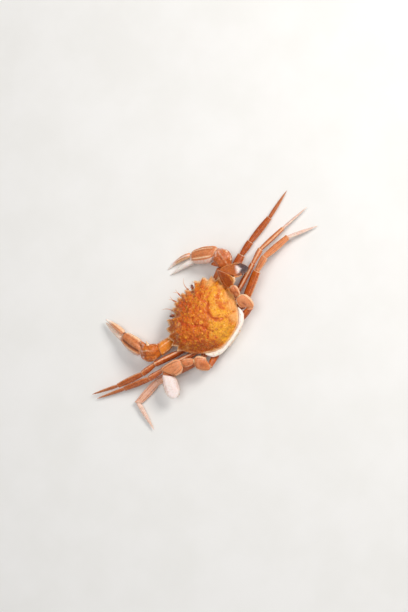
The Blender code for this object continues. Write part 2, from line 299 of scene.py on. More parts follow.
def segmentLoft(skin, part, look, tipward, tones):
    # one limb segment: its outline, edge keels, grooves, beaded ridges and pale collar
    look = {**plainSegment, **look}
    paint = dict(tones)
    length = part["length"]
    rings = max(14, int(length / look["step"]))
    even = np.linspace(0, 1, rings)[:, None]
    z = (0.35 * (1 - np.cos(math.pi * even)) / 2 + 0.65 * even) * length  # rings lie closer at the ends
    place = z / length
    cu, sv, turn = superellipse(look["around"], look["power"])
    share = smoothCurve(look["outline"], place) * roundedEnds(z, length, look["endRadius"], look["neck"])
    share = share + look["collar"] * bell(length - z, 0.75, 0.5)
    halfWide = part["halfWide"] * share
    u = halfWide * cu
    v = part["halfThick"] * share * sv
    fade = step(0.06, 0.2, place) * (1 - step(0.86, 0.95, place))
    for at, width, depth, drift in look["grooves"]:
        groove = bell(cu, at + drift * (place - 0.5), width) * fade
        v = v * (1 - depth * groove)
        # the groove is also darkened: painted shade
        strongest(paint, "dark", groove * min(depth * 6, 0.8))
    for angle, width, height, pitch in look["ridges"]:
        ridge = bellAt(turn, angle, width) * fade
        grow = height * ridge * (0.55 + 0.45 * beads(z, pitch))
        v = v + grow * np.sin(turn)
        u = u + grow * np.cos(turn)
        strongest(paint, "pale", ridge * look["ridgePale"])
    keel = look["keel"] * step(0.8, 0.98, np.abs(cu))
    u = u * (1 + keel * (0.5 + 0.5 * beads(z, 1.3)) * fade)
    aside = np.minimum(turn % math.pi, math.pi - turn % math.pi)
    strongest(paint, "pale", bell(aside, 0, look["edgeWidth"]) * look["edgePale"])
    strongest(paint, "pale", look["edgeWash"] * step(0.62, 1.0, np.abs(cu)) * look["edgePale"])
    at, width, strength = look["band"]
    strongest(paint, "peach", strength * bell(cu, at, width) * (sv > 0))
    strongest(paint, "browned", look["heart"] * bell(cu, 0.1, 0.45) * bell(place, 0.5, 0.3) * (sv > 0))
    ends = np.maximum(bell(length - z, 0.35, 0.4), 0.5 * bell(z, 0.2, 0.5))
    strongest(paint, "pale", ends * look["collarPale"])
    # painted shade at the segment's root joint and in the dip just inside its collar
    strongest(paint, "dark", 0.5 * bell(z, 0.0, 0.3), 6.75 * look["collar"] * bell(length - z, 1.5, 0.25))
    grid = lumpy(mitred(part, z, u, v), look["lumpSize"], len(part["name"]), look["lumps"])
    paint["tipward"] = tipward[0] + (tipward[1] - tipward[0]) * place
    skin.loft(grid, paint)
    return halfWide, z


def ballLoft(skin, centre, axes, sizes, paint, around, rings):
    # an ellipsoid on three axes
    lat = np.linspace(-math.pi / 2 + 0.06, math.pi / 2 - 0.06, rings)[:, None]
    lon = math.tau * np.arange(around) / around
    local = np.broadcast_arrays(np.cos(lat) * np.cos(lon), np.cos(lat) * np.sin(lon), np.sin(lat))
    skin.loft((np.stack(local, -1) * np.array(sizes)) @ np.array(axes) + np.array(centre), paint)


def tubeLoft(skin, path, radii, paint, around):
    # a round tube through a list of points
    turn = math.tau * np.arange(around) / around
    rings = []
    side = None
    for i, point in enumerate(path):
        along = (path[min(i + 1, len(path) - 1)] - path[max(i - 1, 0)]).normalized()
        side = along.orthogonal() if side is None else side - along * side.dot(along)
        side.normalize()
        up = along.cross(side)
        rings.append([list(point + (side * math.cos(t) + up * math.sin(t)) * radii[i]) for t in turn])
    skin.loft(np.array(rings), paint)


def curvePoints(start, bend, end, count):
    ts = [i / (count - 1) for i in range(count)]
    return [start * (1 - t) ** 2 + bend * 2 * t * (1 - t) + end * t * t for t in ts]


def spine(skin, foot, tip, radius, lean=(0, 0, 0), paleFrom=0.35):
    # a thorn with a pale point
    foot, tip = Vector(foot), Vector(tip)
    t = np.linspace(0, 1, 9)
    path = curvePoints(foot, (foot + tip) / 2 + Vector(lean), tip, len(t))
    paint = {"pale": step(paleFrom - 0.3, paleFrom + 0.3, t)[:, None]}
    tubeLoft(skin, path, radius * (1 - t) ** 0.85 + 0.04, paint, 10)


# Nodes: a small hand for wiring, then the effects that several finishes share

def srgb(red, green, blue):
    values = []
    for value in (red / 255, green / 255, blue / 255):
        values.append(value / 12.92 if value <= 0.04045 else ((value + 0.055) / 1.055) ** 2.4)
    return (*values, 1.0)


class Wiring:
    def __init__(self, tree):
        self.tree = tree

    def add(self, kind, inputs=None, **settings):
        node = self.tree.nodes.new(kind)
        for key, value in settings.items():
            setattr(node, key, value)
        for key, value in (inputs or {}).items():
            self.plug(value, node.inputs[key])
        return node

    def plug(self, value, socket):
        if isinstance(value, bpy.types.NodeSocket):
            self.tree.links.new(value, socket)
        else:
            socket.default_value = value

    def noise(self, vector, scale, detail=4.0, roughness=0.55, distortion=0.0):
        values = {"Vector": vector, "Scale": scale, "Detail": detail, "Roughness": roughness}
        return self.add("ShaderNodeTexNoise", {**values, "Distortion": distortion}).outputs[0]

    def cells(self, vector, scale, feature="F1", **more):
        values = {"Vector": vector, "Scale": scale, **more}
        return self.add("ShaderNodeTexVoronoi", values, feature=feature).outputs["Distance"]

    def remap(self, value, low, high, toLow=0.0, toHigh=1.0):
        values = {"Value": value, "From Min": low, "From Max": high, "To Min": toLow, "To Max": toHigh}
        return self.add("ShaderNodeMapRange", values, interpolation_type="SMOOTHSTEP").outputs[0]

    def math(self, operation, a, b):
        return self.add("ShaderNodeMath", {0: a, 1: b}, operation=operation).outputs[0]

    def times(self, a, b):
        return self.math("MULTIPLY", a, b)

    def plus(self, a, b):
        return self.math("ADD", a, b)

    def mix(self, factor, a, b):
        return self.add("ShaderNodeMix", {0: factor, 6: a, 7: b}, data_type="RGBA").outputs[2]

    def paint(self, name):
        return self.add("ShaderNodeAttribute", attribute_name=name).outputs["Fac"]

    def group(self, tree, **inputs):
        return self.add("ShaderNodeGroup", inputs, node_tree=tree).outputs


class Effect(Wiring):
    # a node group; every one takes a place and a size
    def __init__(self, name, values, outputs, colours=()):
        super().__init__(bpy.data.node_groups.new(name, "ShaderNodeTree"))
        inputs = {"Vector": "Vector", "Size": "Float"}
        inputs.update(dict.fromkeys(colours, "Color"))
        inputs.update(dict.fromkeys(values, "Float"))
        for way, labels in (("INPUT", inputs), ("OUTPUT", outputs)):
            for label, kind in labels.items():
                self.tree.interface.new_socket(label, in_out=way, socket_type="NodeSocket" + kind)
        self.given = self.add("NodeGroupInput").outputs
        self.result = self.add("NodeGroupOutput").inputs
        self.scale = self.math("DIVIDE", 1.0, self.given["Size"])

    def waves(self, finer, *settings):
        scale = self.times(self.scale, finer) if finer != 1 else self.scale
        return self.noise(self.given["Vector"], scale, *settings)


def makeMottle():
    # three tones in soft blotches, with a fine speckle
    shares = ("DeepShare", "LightShare", "Speckle")
    effect = Effect("mottle", shares, {"Color": "Color"}, ("Main", "Deep", "Light"))
    given = effect.given
    colour = given["Main"]
    for tone, share, finer, settings, low, high in (
        ("Deep", "DeepShare", 1, (6.0, 0.65, 0.9), 0.47, 0.66),
        ("Light", "LightShare", 2.7, (6.0, 0.7, 0.6), 0.5, 0.68),
        ("Deep", "Speckle", 11.0, (3.0, 0.6), 0.4, 0.7),
    ):
        mask = effect.times(effect.remap(effect.waves(finer, *settings), low, high), given[share])
        colour = effect.mix(mask, colour, given[tone])
    effect.plug(colour, effect.result["Color"])
    return effect.tree


def makeGranules():
    # small raised grains with pores between them
    effect = Effect("granules", ("Roughen",), {"Height": "Float", "Tops": "Float"})
    cells = effect.cells(effect.given["Vector"], effect.scale, "SMOOTH_F1", Smoothness=0.35)
    rough = effect.times(effect.waves(2.2, 5.0, 0.65), effect.given["Roughen"])
    effect.plug(effect.plus(effect.remap(cells, 0.1, 0.75, 1.0, 0.0), rough), effect.result["Height"])
    effect.plug(effect.remap(cells, 0.05, 0.35, 1.0, 0.0), effect.result["Tops"])
    return effect.tree


def makeBroken():
    # frays the border of a painted mask
    effect = Effect("brokenEdge", ("Mask", "Fray"), {"Mask": "Float"})
    centred = effect.math("SUBTRACT", effect.waves(1, 5.0, 0.65, 0.4), 0.5)
    mask = effect.plus(effect.given["Mask"], effect.times(centred, effect.given["Fray"]))
    effect.plug(effect.remap(mask, 0.15, 0.85), effect.result["Mask"])
    return effect.tree


def makeWetness():
    # shiny where broth has stayed on the shell, dull where it has dried
    effect = Effect("wetness", ("Wet", "Dry"), {"Roughness": "Float", "Film": "Float"})
    film = effect.remap(effect.waves(1, 4.0, 0.6, 0.5), 0.42, 0.62)
    span = effect.math("SUBTRACT", effect.given["Wet"], effect.given["Dry"])
    effect.plug(effect.plus(effect.given["Dry"], effect.times(film, span)), effect.result["Roughness"])
    effect.plug(film, effect.result["Film"])
    return effect.tree


mottle = makeMottle()
granules = makeGranules()
brokenEdge = makeBroken()
wetness = makeWetness()


class Finish(Wiring):
    # one material: coats of colour on a mottled ground, then gloss and bumps
    def __init__(self, name, solid):
        # solid values are the same all over, and go straight onto the shader
        self.material = bpy.data.materials.new(name)
        self.material.use_nodes = True
        super().__init__(self.material.node_tree)
        self.sockets = self.tree.nodes["Principled BSDF"].inputs
        for key, value in solid.items():
            self.sockets[key].default_value = value
        position = self.add("ShaderNodeTexCoord").outputs["Object"]
        self.at = self.add("ShaderNodeVectorMath", {0: position, "Scale": 1 / mm},
                           operation="SCALE").outputs[0]

    def ground(self, look):
        names = ("Size", "DeepShare", "LightShare", "Speckle")
        tones = {"Main": look["main"], "Deep": look["deep"], "Light": look["light"]}
        self.colour = self.group(mottle, Vector=self.at, **tones, **dict(zip(names, look["mottle"])))["Color"]

    def broken(self, mask, size, fray):
        return self.group(brokenEdge, Vector=self.at, Mask=mask, Size=size, Fray=fray)["Mask"]

    def coat(self, colour, mask, strength):
        self.colour = self.mix(self.times(mask, strength), self.colour, colour)
        return mask

    def painted(self, colour, name, size, fray, strength):
        return self.coat(colour, self.broken(self.paint(name), size, fray), strength)

    def spots(self, scale, detail, roughness, distortion, low, high):
        return self.remap(self.noise(self.at, scale, detail, roughness, distortion), low, high)

    def gloss(self, size, wet, dry, film):
        wetted = self.group(wetness, Vector=self.at, Size=size, Wet=wet, Dry=dry)
        self.plug(wetted["Roughness"], self.sockets["Roughness"])
        self.plug(self.times(wetted["Film"], film), self.sockets["Coat Weight"])

    def grains(self, size, roughen):
        return self.group(granules, Vector=self.at, Size=size, Roughen=roughen)

    def finished(self, height, strength, depth):
        # depth is in millimetres
        node = self.add("ShaderNodeBump", {"Height": height, "Strength": strength, "Distance": depth * mm})
        self.plug(node.outputs[0], self.sockets["Normal"])
        self.plug(self.colour, self.sockets["Base Color"])
        return self.material


# In every look, mottle is size, deep share, light share and speckle, and grain is size and roughness.
# Painted coats are colour, paint, size, fray and strength; the shell's colours share their paints' names.
# Spots are colour, (noise scale, detail, roughness, distortion, where they start and fill) and strength.
# Gloss is patch size, roughness where wet, where dry, and film. Bump is strength and depth.

shellLook = {
    "main": srgb(222, 112, 6), "deep": srgb(184, 62, 2), "light": srgb(242, 162, 36),
    "golden": srgb(252, 186, 50), "browned": srgb(162, 70, 10), "peach": srgb(250, 184, 108),
    "grey": srgb(186, 138, 112), "crease": srgb(134, 46, 6), "cream": srgb(244, 200, 150),
    "glint": srgb(252, 200, 140), "ember": srgb(212, 80, 2),
    "solid": {"Coat Roughness": 0.12, "Subsurface Weight": 0.08, "Subsurface Scale": 0.002,
              "Specular IOR Level": 0.35},
    "mottle": (2.6, 0.85, 0.75, 0.4), "grain": (0.75, 0.5), "grainTops": 0.28,
    "painted": (("golden", 3.2, 1.5, 0.68), ("peach", 3.4, 0.9, 0.9), ("browned", 3.0, 1.5, 0.66),
                ("grey", 1.6, 1.5, 0.6)),
    "spots": (
        ("deep", (0.36, 5.0, 0.6, 0.8, 0.5, 0.64), 0.7), ("golden", (0.52, 5.0, 0.65, 0.5, 0.52, 0.66), 0.8),
        ("crease", (0.95, 6.0, 0.75, 1.0, 0.55, 0.69), 0.66),
        ("ember", (0.95, 5.0, 0.7, 0.8, 0.52, 0.64), 0.6),
    ),
    "glints": ((0.62, 5.0, 0.7, 1.2, 0.61, 0.69), 0.8), "halo": (2.2, 1.6, 0.9, 0.75),
    "gloss": (2.2, 0.2, 0.46, 0.3), "folds": (0.5, 5.0, 0.65, 0.6), "foldHeight": 4.8, "bump": (0.7, 0.26),
}
limbLook = {
    "main": srgb(198, 90, 14), "deep": srgb(152, 58, 8), "light": srgb(228, 142, 54),
    "tip": srgb(214, 150, 98), "cream": srgb(248, 214, 174), "crease": srgb(106, 36, 8),
    "skin": srgb(218, 166, 118), "browned": srgb(148, 58, 8), "peach": srgb(236, 156, 104),
    "golden": srgb(246, 154, 46), "white": srgb(253, 243, 234),
    "solid": {"Coat Roughness": 0.12, "Subsurface Weight": 0.1, "Subsurface Scale": 0.002,
              "Specular IOR Level": 0.38},
    "mottle": (2.2, 0.85, 0.7, 0.35), "grain": (0.55, 0.6), "gloss": (3.5, 0.2, 0.42, 0.45),
    "under": (("golden", "golden", 2.6, 0.8, 0.8), ("peach", "peach", 3.4, 0.8, 0.75),
              ("browned", "browned", 2.4, 0.8, 0.7), ("tip", "tipward", 3.0, 0.8, 0.4)),
    # spots: darker flecks, then cream flecks that are painted highlights
    "spots": (("crease", (0.75, 5.0, 0.7, 1.0, 0.54, 0.68), 0.55),
              ("cream", (0.6, 5.0, 0.7, 1.5, 0.6, 0.7), 0.48)),
    # over: cream on the pale edges, white, and the crease colour on the dark paint, which is painted shade in
    # grooves and joints
    "over": (("cream", "pale", 1.8, 0.9, 0.8), ("white", "white", 1.6, 0.5, 0.9),
             ("crease", "dark", 2.0, 0.5, 0.66)),
    "dents": (0.7, 4.0, 0.6, 0.4), "dentDepth": 3.0, "bump": (0.7, 0.09),
}
bellyLook = {
    "main": srgb(240, 214, 186), "deep": srgb(214, 150, 104), "light": srgb(252, 238, 222),
    "grey": srgb(186, 138, 112),
    "crease": srgb(150, 84, 50), "orange": srgb(222, 130, 70), "white": srgb(252, 242, 230),
    "solid": {"Coat Roughness": 0.15, "Subsurface Weight": 0.15, "Subsurface Scale": 0.003, "IOR": 1.46},
    "mottle": (4.0, 0.35, 0.6, 0.18), "grain": (0.8, 0.8), "gloss": (4.0, 0.16, 0.4, 0.5),
    "bump": (0.45, 0.08),
    # the crease colour on the dark paint is painted shade in the seams and cuts
    "painted": (("orange", "browned", 2.5, 0.8, 0.75), ("white", "white", 1.4, 0.7, 0.85),
                ("grey", "grey", 1.6, 0.8, 0.5), ("crease", "dark", 0.9, 0.4, 0.7)),
}
paddleLook = {
    "main": srgb(246, 230, 224), "deep": srgb(236, 202, 186), "light": srgb(254, 248, 248),
    "orange": srgb(164, 80, 18), "violet": srgb(70, 50, 50), "crease": srgb(150, 78, 40),
    "rust": srgb(206, 112, 40), "amber": srgb(232, 150, 76),
    "solid": {"Coat Roughness": 0.1, "Subsurface Weight": 0.1, "Subsurface Scale": 0.002,
              "Specular IOR Level": 0.35},
    "mottle": (2.4, 0.5, 0.7, 0.2), "grain": (0.6, 0.8), "gloss": (2.5, 0.26, 0.5, 0.3),
    # the crease colour on the dark paint is painted shade in the grooves
    "painted": (("orange", "browned", 1.2, 0.5, 0.99), ("violet", "grey", 1.2, 0.4, 0.99),
                ("crease", "dark", 0.8, 0.4, 0.99)),
    "streaks": ((0.45, 6.0, 0.7, 1.6, 0.48, 0.62), 0.6), "rim": ("golden", 1.4, 0.7, 0.8),
    "spots": (("crease", (0.8, 5.0, 0.7, 1.2, 0.52, 0.68), 0.2),
              ("light", (0.5, 5.0, 0.7, 2.2, 0.56, 0.68), 0.15)),
    "ripples": (0.8, 5.0, 0.65, 0.8), "rippleHeight": 4.0, "bump": (0.6, 0.07),
}


def startFinish(name, look):
    finish = Finish(name, look["solid"])
    finish.ground(look)
    return finish


def paintAll(finish, look, layers):
    for colour, *settings in layers:
        finish.painted(look[colour], *settings)


def spotAll(finish, look):
    for colour, settings, strength in look["spots"]:
        finish.coat(look[colour], finish.spots(*settings), strength)


def shellMaterial():
    look = shellLook
    finish = startFinish("cookedShell", look)
    masks = {name: finish.painted(look[name], name, *settings) for name, *settings in look["painted"]}
    calm = finish.plus(finish.times(masks["peach"], 0.75), finish.times(masks["golden"], 0.3))
    busy = finish.math("SUBTRACT", 1.0, calm)  # fewer spots where the shell is peach or golden
    grains = finish.grains(*look["grain"])
    finish.coat(look["light"], grains["Tops"], look["grainTops"])
    for colour, settings, strength in look["spots"]:
        finish.coat(look[colour], finish.spots(*settings), finish.times(busy, strength))
    settings, strength = look["glints"]
    finish.coat(look["glint"], finish.spots(*settings), strength)
    finish.painted(look["cream"], "pale", 1.0, 0.5, 0.85)
    # painted shade round the creases: a wide soft ring of deeper orange, then the dark crease itself
    spread, size, fray, strength = look["halo"]
    halo = finish.broken(finish.times(finish.paint("dark"), spread), size, fray)
    finish.coat(look["ember"], halo, strength)
    finish.painted(look["crease"], "dark", 1.2, 0.6, 0.5)
    finish.gloss(*look["gloss"])
    folds = finish.times(finish.noise(finish.at, *look["folds"]), look["foldHeight"])
    return finish.finished(finish.plus(finish.times(grains["Height"], 0.7), folds), *look["bump"])


def limbMaterial():
    look = limbLook
    finish = startFinish("cookedLimb", look)
    paintAll(finish, look, look["under"])
    spotAll(finish, look)
    paintAll(finish, look, look["over"])
    finish.colour = finish.mix(finish.paint("skin"), finish.colour, look["skin"])
    finish.gloss(*look["gloss"])
    dents = finish.times(finish.noise(finish.at, *look["dents"]), look["dentDepth"])
    return finish.finished(finish.plus(finish.grains(*look["grain"])["Height"], dents), *look["bump"])


def bellyMaterial():
    look = bellyLook
    finish = startFinish("paleBelly", look)
    paintAll(finish, look, look["painted"])
    finish.gloss(*look["gloss"])
    return finish.finished(finish.grains(*look["grain"])["Height"], *look["bump"])


def paddleMaterial():
    look = paddleLook
    finish = startFinish("palePaddle", look)
    paintAll(finish, look, look["painted"])
    settings, strength = look["streaks"]
    finish.coat(look["rust"], finish.times(finish.spots(*settings), finish.paint("browned")), strength)
    finish.painted(look["amber"], *look["rim"])
    spotAll(finish, look)
    finish.gloss(*look["gloss"])
    ripples = finish.times(finish.noise(finish.at, *look["ripples"]), look["rippleHeight"])
    return finish.finished(finish.plus(finish.grains(*look["grain"])["Height"], ripples), *look["bump"])


def eyeMaterial():
    finish = Finish("boiledEye", {"Coat Weight": 0.8, "Coat Roughness": 0.04, "IOR": 1.5})
    facets = finish.cells(finish.at, 5.5)
    tone = finish.noise(finish.at, 0.8, 3.0)
    colour = finish.mix(finish.remap(tone, 0.4, 0.6), srgb(58, 20, 12), srgb(116, 42, 22))
    stalk = finish.broken(finish.paint("pale"), 0.8, 0.5)
    finish.colour = finish.mix(stalk, colour, srgb(204, 112, 66))
    finish.plug(finish.remap(tone, 0.3, 0.7, 0.12, 0.3), finish.sockets["Roughness"])
    return finish.finished(facets, 0.3, 0.04)


def hairMaterial():
    finish = Finish("bristles", {"Subsurface Weight": 0.1, "Subsurface Scale": 0.001})
    streak = finish.noise(finish.at, 0.9, 3.0)
    finish.colour = finish.mix(finish.remap(streak, 0.35, 0.65), srgb(176, 116, 72), srgb(232, 190, 146))
    finish.plug(finish.remap(streak, 0.3, 0.7, 0.35, 0.6), finish.sockets["Roughness"])
    return finish.finished(finish.noise(finish.at, 6.0, 2.0), 0.3, 0.02)


materials = {
    "shell": shellMaterial(), "limb": limbMaterial(), "belly": bellyMaterial(),
    "paddle": paddleMaterial(), "eye": eyeMaterial(), "hair": hairMaterial(),
}
print("finishes made")


def handIn(item, material, nodes=()):
    # the feelers and the bristles are extra, and stand for no node
    item.data.materials.append(materials[material])
    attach(item, "root")
    if nodes:
        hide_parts(*nodes)


# The back shell

shellLow, shellHigh = boxOf("carapace")
eyeLow, eyeHigh = boxOf("eye_right")
backShell = {
    "halfWide": (shellHigh.x - shellLow.x) / 2, "middleY": (shellHigh.y + shellLow.y) / 2,
    "rimZ": shellLow.z + 2.4, "sideTeeth": 5, "widestY": 3.2, "sideArc": (33.0, 90.0), "notch": 0.905,
    "eyeX": (eyeLow.x + eyeHigh.x) / 2, "eyeY": (eyeLow.y + eyeHigh.y) / 2 + 0.3, "orbit": 2.9,
    "serration": 1.15, "spacing": 0.36, "rings": 92, "crownPower": 2.4, "crownFall": 0.85, "flare": 0.6,
    # raised swellings: x, y, radius, height. Those off the middle come in pairs
    "swellings": ((0, 8.5, 8.0, 0.7), (15.5, -2.5, 8.5, 0.8), (0, -9.5, 4.6, 0.6), (6.0, 15.0, 3.6, 0.45),
                  (0, -16.5, 4.0, 0.4), (20.5, 8.0, 4.5, 0.35), (11.0, -14.0, 5.0, 0.45)),
    # creases between the regions of the back: depth, width, and points
    "creases": (
        (0.55, 0.9, ((16.5, 5.6), (13.6, 4.2), (11.3, 2.5), (7.8, 0.4), (5.2, -3.0), (4.1, -6.2), (5.2, -9.4),
                     (7.9, -11.6))),
        (0.3, 1.0, ((11.0, 3.0), (10.4, 7.0), (11.8, 11.0))),
        (0.22, 0.9, ((1.4, 19.5), (1.3, 15.5), (2.6, 11.5))),
        (0.22, 1.1, ((21.5, 2.2), (18.6, -0.4), (15.4, -4.4), (14.2, -8.4))),
    ),
    # beaded ridges: height, width, bead pitch, and points
    "ridges": (
        (0.36, 0.55, 1.3, ((29.0, 2.6), (24.0, 3.8), (19.0, 5.8), (15.6, 7.0))),
        (0.3, 0.5, 1.2, ((9.0, 7.2), (5.6, 6.4), (2.2, 6.6))),
        (0.26, 0.5, 1.2, ((9.6, 13.2), (6.4, 12.3), (3.4, 12.8))),
        (0.26, 0.5, 1.25, ((12.0, -6.0), (9.2, -5.2), (6.6, -6.2))),
    ),
    # colour fields: x, y, radius, strength. Golden and peach lie mostly on the right and at the rear, browned
    # mostly on the left and at the front: the shell's own tones, with painted light on the key light's side
    # and painted shade on the far side
    "golden": ((18, 0, 9, 1.0), (10, -8, 9, 1.0), (2, -15, 9, 1.0), (22, 7, 5, 0.7), (8, 8, 5, 0.5),
               (-2, -21, 7, 0.9), (-6, -12, 5, 0.6)),
    "browned": ((-1, 14.5, 5.5, 0.95), (-25, 8, 6, 0.9), (-27, 1, 5, 0.9), (-16, -9, 6, 0.95),
                (-13, -18, 5, 0.9),
                (-22, -6, 5, 0.8), (-18, 16, 5, 0.85), (-10, 19, 5, 0.6), (26, 11, 4, 0.4),
                (12, 20, 4, 0.45)),
    "peach": ((24, -6, 5, 1.0), (20, -12, 5, 1.0), (14, -19, 5, 0.95), (23, 12, 4.5, 0.85), (26, 3, 3.5, 0.8),
              (-24, -2, 3, 0.6)),
    "grey": ((-14, 11, 3.0, 0.8), (-21.5, 8, 2.6, 0.85), (-25, 6, 2.4, 0.8), (-6, 17.5, 2.6, 0.5),
             (-20, 12, 2.2, 0.6)),
    # the folded lower side, from the seam outwards: share of the outline, drop below the rim, how toothed
    "lowerSide": ((0.05, 2.25, 0), (0.5, 2.3, 0), (0.74, 2.35, 0), (0.80, 2.3, 0), (0.86, 1.75, 0.2),
                  (0.91, 1.3, 0.5), (0.955, 0.95, 0.85), (0.985, 0.6, 1.0)),
    # soft lumps: size, seed, height
    "lumps": ((1.5, 4, 0.42), (0.8, 5, 0.2), (3.2, 6, 0.55)),
    # thorns at the front: distance from the middle, and how far back
    "frontThorns": ((1.0, 0.4), (2.9, 0.1), (5.0, 0.5), (7.2, 0.9)),
}


def onSideEllipse(degrees, share=1.0):
    look = backShell
    turn = math.radians(degrees)
    halfY = (look["eyeY"] + 0.6 - look["widestY"]) / math.cos(math.radians(look["sideArc"][0]))
    return share * look["halfWide"] * math.sin(turn), look["widestY"] + share * halfY * math.cos(turn)


def sideTeeth():
    # the angle of each side tooth, and the gap between two
    first, last = backShell["sideArc"]
    gap = (last - first) / (backShell["sideTeeth"] - 1)
    return [first + tooth * gap for tooth in range(backShell["sideTeeth"])], gap


def rightRim():
    # from the middle front tooth, round the eye's notch and the side teeth, to the middle of the back
    look = backShell
    tipY = shellHigh.y
    points = [(0.0, tipY), (1.7, tipY - 2.7), (3.9, tipY - 0.4), (6.0, tipY - 3.2), (8.1, tipY - 1.4)]
    for degrees in range(195, 350, 15):
        turn = math.radians(degrees)
        away = look["orbit"] * Vector((math.cos(turn), math.sin(turn)))
        points.append((look["eyeX"] + away.x, look["eyeY"] + away.y))
    tips, gap = sideTeeth()
    for tip in tips:
        if tip > tips[0]:
            points.append(onSideEllipse(tip - 0.34 * gap, look["notch"] + 0.01))
            points.append(onSideEllipse(tip - 0.22 * gap, look["notch"] + 0.004))
        for past, share in ((0.0, 1.0), (0.22, 0.975), (0.44, 0.945)):
            points.append(onSideEllipse(tip + past * gap, share))
    start = Vector((look["halfWide"] - 2.6, look["widestY"] - 3.4))
    corner = Vector((14.4, -20.2))
    points += [tuple(p) for p in curvePoints(start, Vector((look["halfWide"] - 6.6, -12.0)), corner, 9)]
    for x in (12.6, 10.6, 8.2, 5.6, 2.8, 0.0):
        points.append((x, shellLow.y + 3.4 * (x / corner.x) ** 3))
    return points


def evenly(points, spacing):
    # the closed outline again, with points close together
    dense = []
    for a, b in zip(points, points[1:] + points[:1]):
        a, b = Vector(a), Vector(b)
        count = max(1, round((b - a).length / spacing))
        dense += [tuple(a.lerp(b, i / count)) for i in range(count)]
    return np.array(dense)


def relaxed(outline, passes):
    for _ in range(passes):
        outline = (np.roll(outline, 1, 0) + 2 * outline + np.roll(outline, -1, 0)) / 4
    return outline


def awayFrom(x, y, path):
    # distance to a line of points, and how far along it
    best = np.full(x.shape, 1e9)
    arc = np.zeros(x.shape)
    run = 0.0
    for (ax, ay), (bx, by) in zip(path, path[1:]):
        dx, dy = bx - ax, by - ay
        span = math.hypot(dx, dy)
        t = np.clip(((x - ax) * dx + (y - ay) * dy) / span**2, 0, 1)
        far = np.hypot(x - ax - t * dx, y - ay - t * dy)
        arc = np.where(far < best, run + t * span, arc)
        best = np.minimum(far, best)
        run += span
    return best, arc


def fields(x, y, spots):
    # one value for each round spot
    return [s * np.exp(-((x - cx) ** 2 + (y - cy) ** 2) / radius**2) for cx, cy, radius, s in spots]


def backRelief(x, y):
    # the back's swellings, creases and beaded ridges, the same on both sides but for a slight waver
    look = backShell
    flat = np.stack([x, y, np.zeros_like(x)], -1)
    mx = np.abs(x + 0.7 * ripple(flat, 3.0, 1))
    my = y + 0.7 * ripple(flat, 3.0, 2)
    broken = step(-0.35, 0.3, ripple(flat, 3.4, 3))
    rise = sum(fields(mx, my, look["swellings"]))
    paint = {}
    for depth, width, path in look["creases"]:
        far = awayFrom(mx, my, path)[0]
        cut = bell(far, 0, width)
        rise -= depth * cut
        shade = np.maximum(cut * (0.3 + depth * 0.7), 0.4 * bell(far, 0, width * 2.4))
        strongest(paint, "dark", shade * (0.3 + 0.7 * broken))
    for height, width, pitch, path in look["ridges"]:
        far, arc = awayFrom(mx, my, path)
        bead = bell(far, 0, width) * (0.45 + 0.55 * beads(arc, pitch))
        rise += height * bead
        strongest(paint, "pale", 0.4 * bead * broken)
    return rise, paint


def makeBackShell():
    look = backShell
    half = rightRim()
    rim = relaxed(evenly(half + [(-x, y) for x, y in reversed(half[1:-1])], look["spacing"]), 1)
    turn = np.arctan2(rim[:, 1], rim[:, 0])
    saw = ripple(np.column_stack([rim, np.zeros(len(rim))]), 0.55, 17) * step(-3.0, 3.0, rim[:, 1])
    rim = rim + np.column_stack([np.cos(turn), np.sin(turn)]) * (saw * look["serration"])[:, None]
    soft = relaxed(rim, 420)
    gentle = relaxed(rim, 30)
    middle = np.array((0.0, look["middleY"]))
    rise = shellHigh.z - look["rimZ"]
    # each level: share of the outline, height, how toothed, how far it counts as the lower side
    levels = [(share, look["rimZ"] - drop, toothed, 1.0) for share, drop, toothed in look["lowerSide"]]
    levels.append((1.0, look["rimZ"] - 0.2, 1.0, 0.6))
    for place in np.linspace(0, 1, look["rings"]):
        share = 0.994 - 0.984 * place ** 1.08
        fall = look["crownFall"] + look["flare"] * step(0.76, 1.0, share)  # the teeth stand out flat
        z = look["rimZ"] + rise * (1 - share ** look["crownPower"]) ** fall
        levels.append((share, z, step(0.885, 0.985, share), 0.0))
    grid = []
    for share, z, toothed, _ in levels:
        near = soft + (gentle - soft) * step(0.45, 0.85, share)
        ring = middle + (near + (rim - near) * toothed - middle) * share
        grid.append(np.column_stack([ring, np.full(len(ring), z)]))
    grid = np.array(grid)
    shares = np.array([level[0] for level in levels])[:, None]
    under = np.array([level[3] for level in levels])[:, None]
    x, y = grid[..., 0], grid[..., 1]
    lift, paint = backRelief(x, y)
    top = (1 - step(0.0, 1.0, under)) * (1 - step(0.9, 1.0, shares) * 0.85)
    grid[..., 2] += lift * top
    lumps = sum(ripple(grid, size, seed) * height for size, seed, height in look["lumps"])
    outward = np.stack([x, y - look["middleY"], np.full(x.shape, 16.0)], -1)
    outward /= np.linalg.norm(outward, axis=-1, keepdims=True)
    grid += outward * (lumps * (0.25 + 0.75 * top) * np.where(under > 0.5, 0.3, 1.0))[..., None]
    grid[..., 2] = np.minimum(grid[..., 2], shellHigh.z + 0.6)
    toothZone = step(-2.0, 4.0, y)
    rearZone = 1 - step(-16.0, -12.0, y)
    lowerSide = step(0.5, 1.0, under)
    paint = {name: mask * top for name, mask in paint.items()}
    rimPale = step(0.90, 1.0, shares) * (0.4 + 0.5 * toothZone + 0.5 * rearZone)
    strongest(paint, "pale", rimPale, 0.7 * lowerSide)
    # the colour fields: the shell's own tones, with painted light on the right and painted shade on the left
    for name in ("golden", "browned", "peach", "grey"):
        strongest(paint, name, *[spot * (1 - lowerSide) for spot in fields(x, y, look[name])])
    strongest(paint, "browned", 0.5 * step(0.86, 0.99, shares) * toothZone * (1 - under))
    strongest(paint, "peach", 0.4 * step(0.8, 0.97, shares) * toothZone * (1 - under))
    skin = Skin()
    skin.loft(grid, paint)
    addShellSpines(skin)
    handIn(skin.build("backShell"), "shell", ["carapace"])


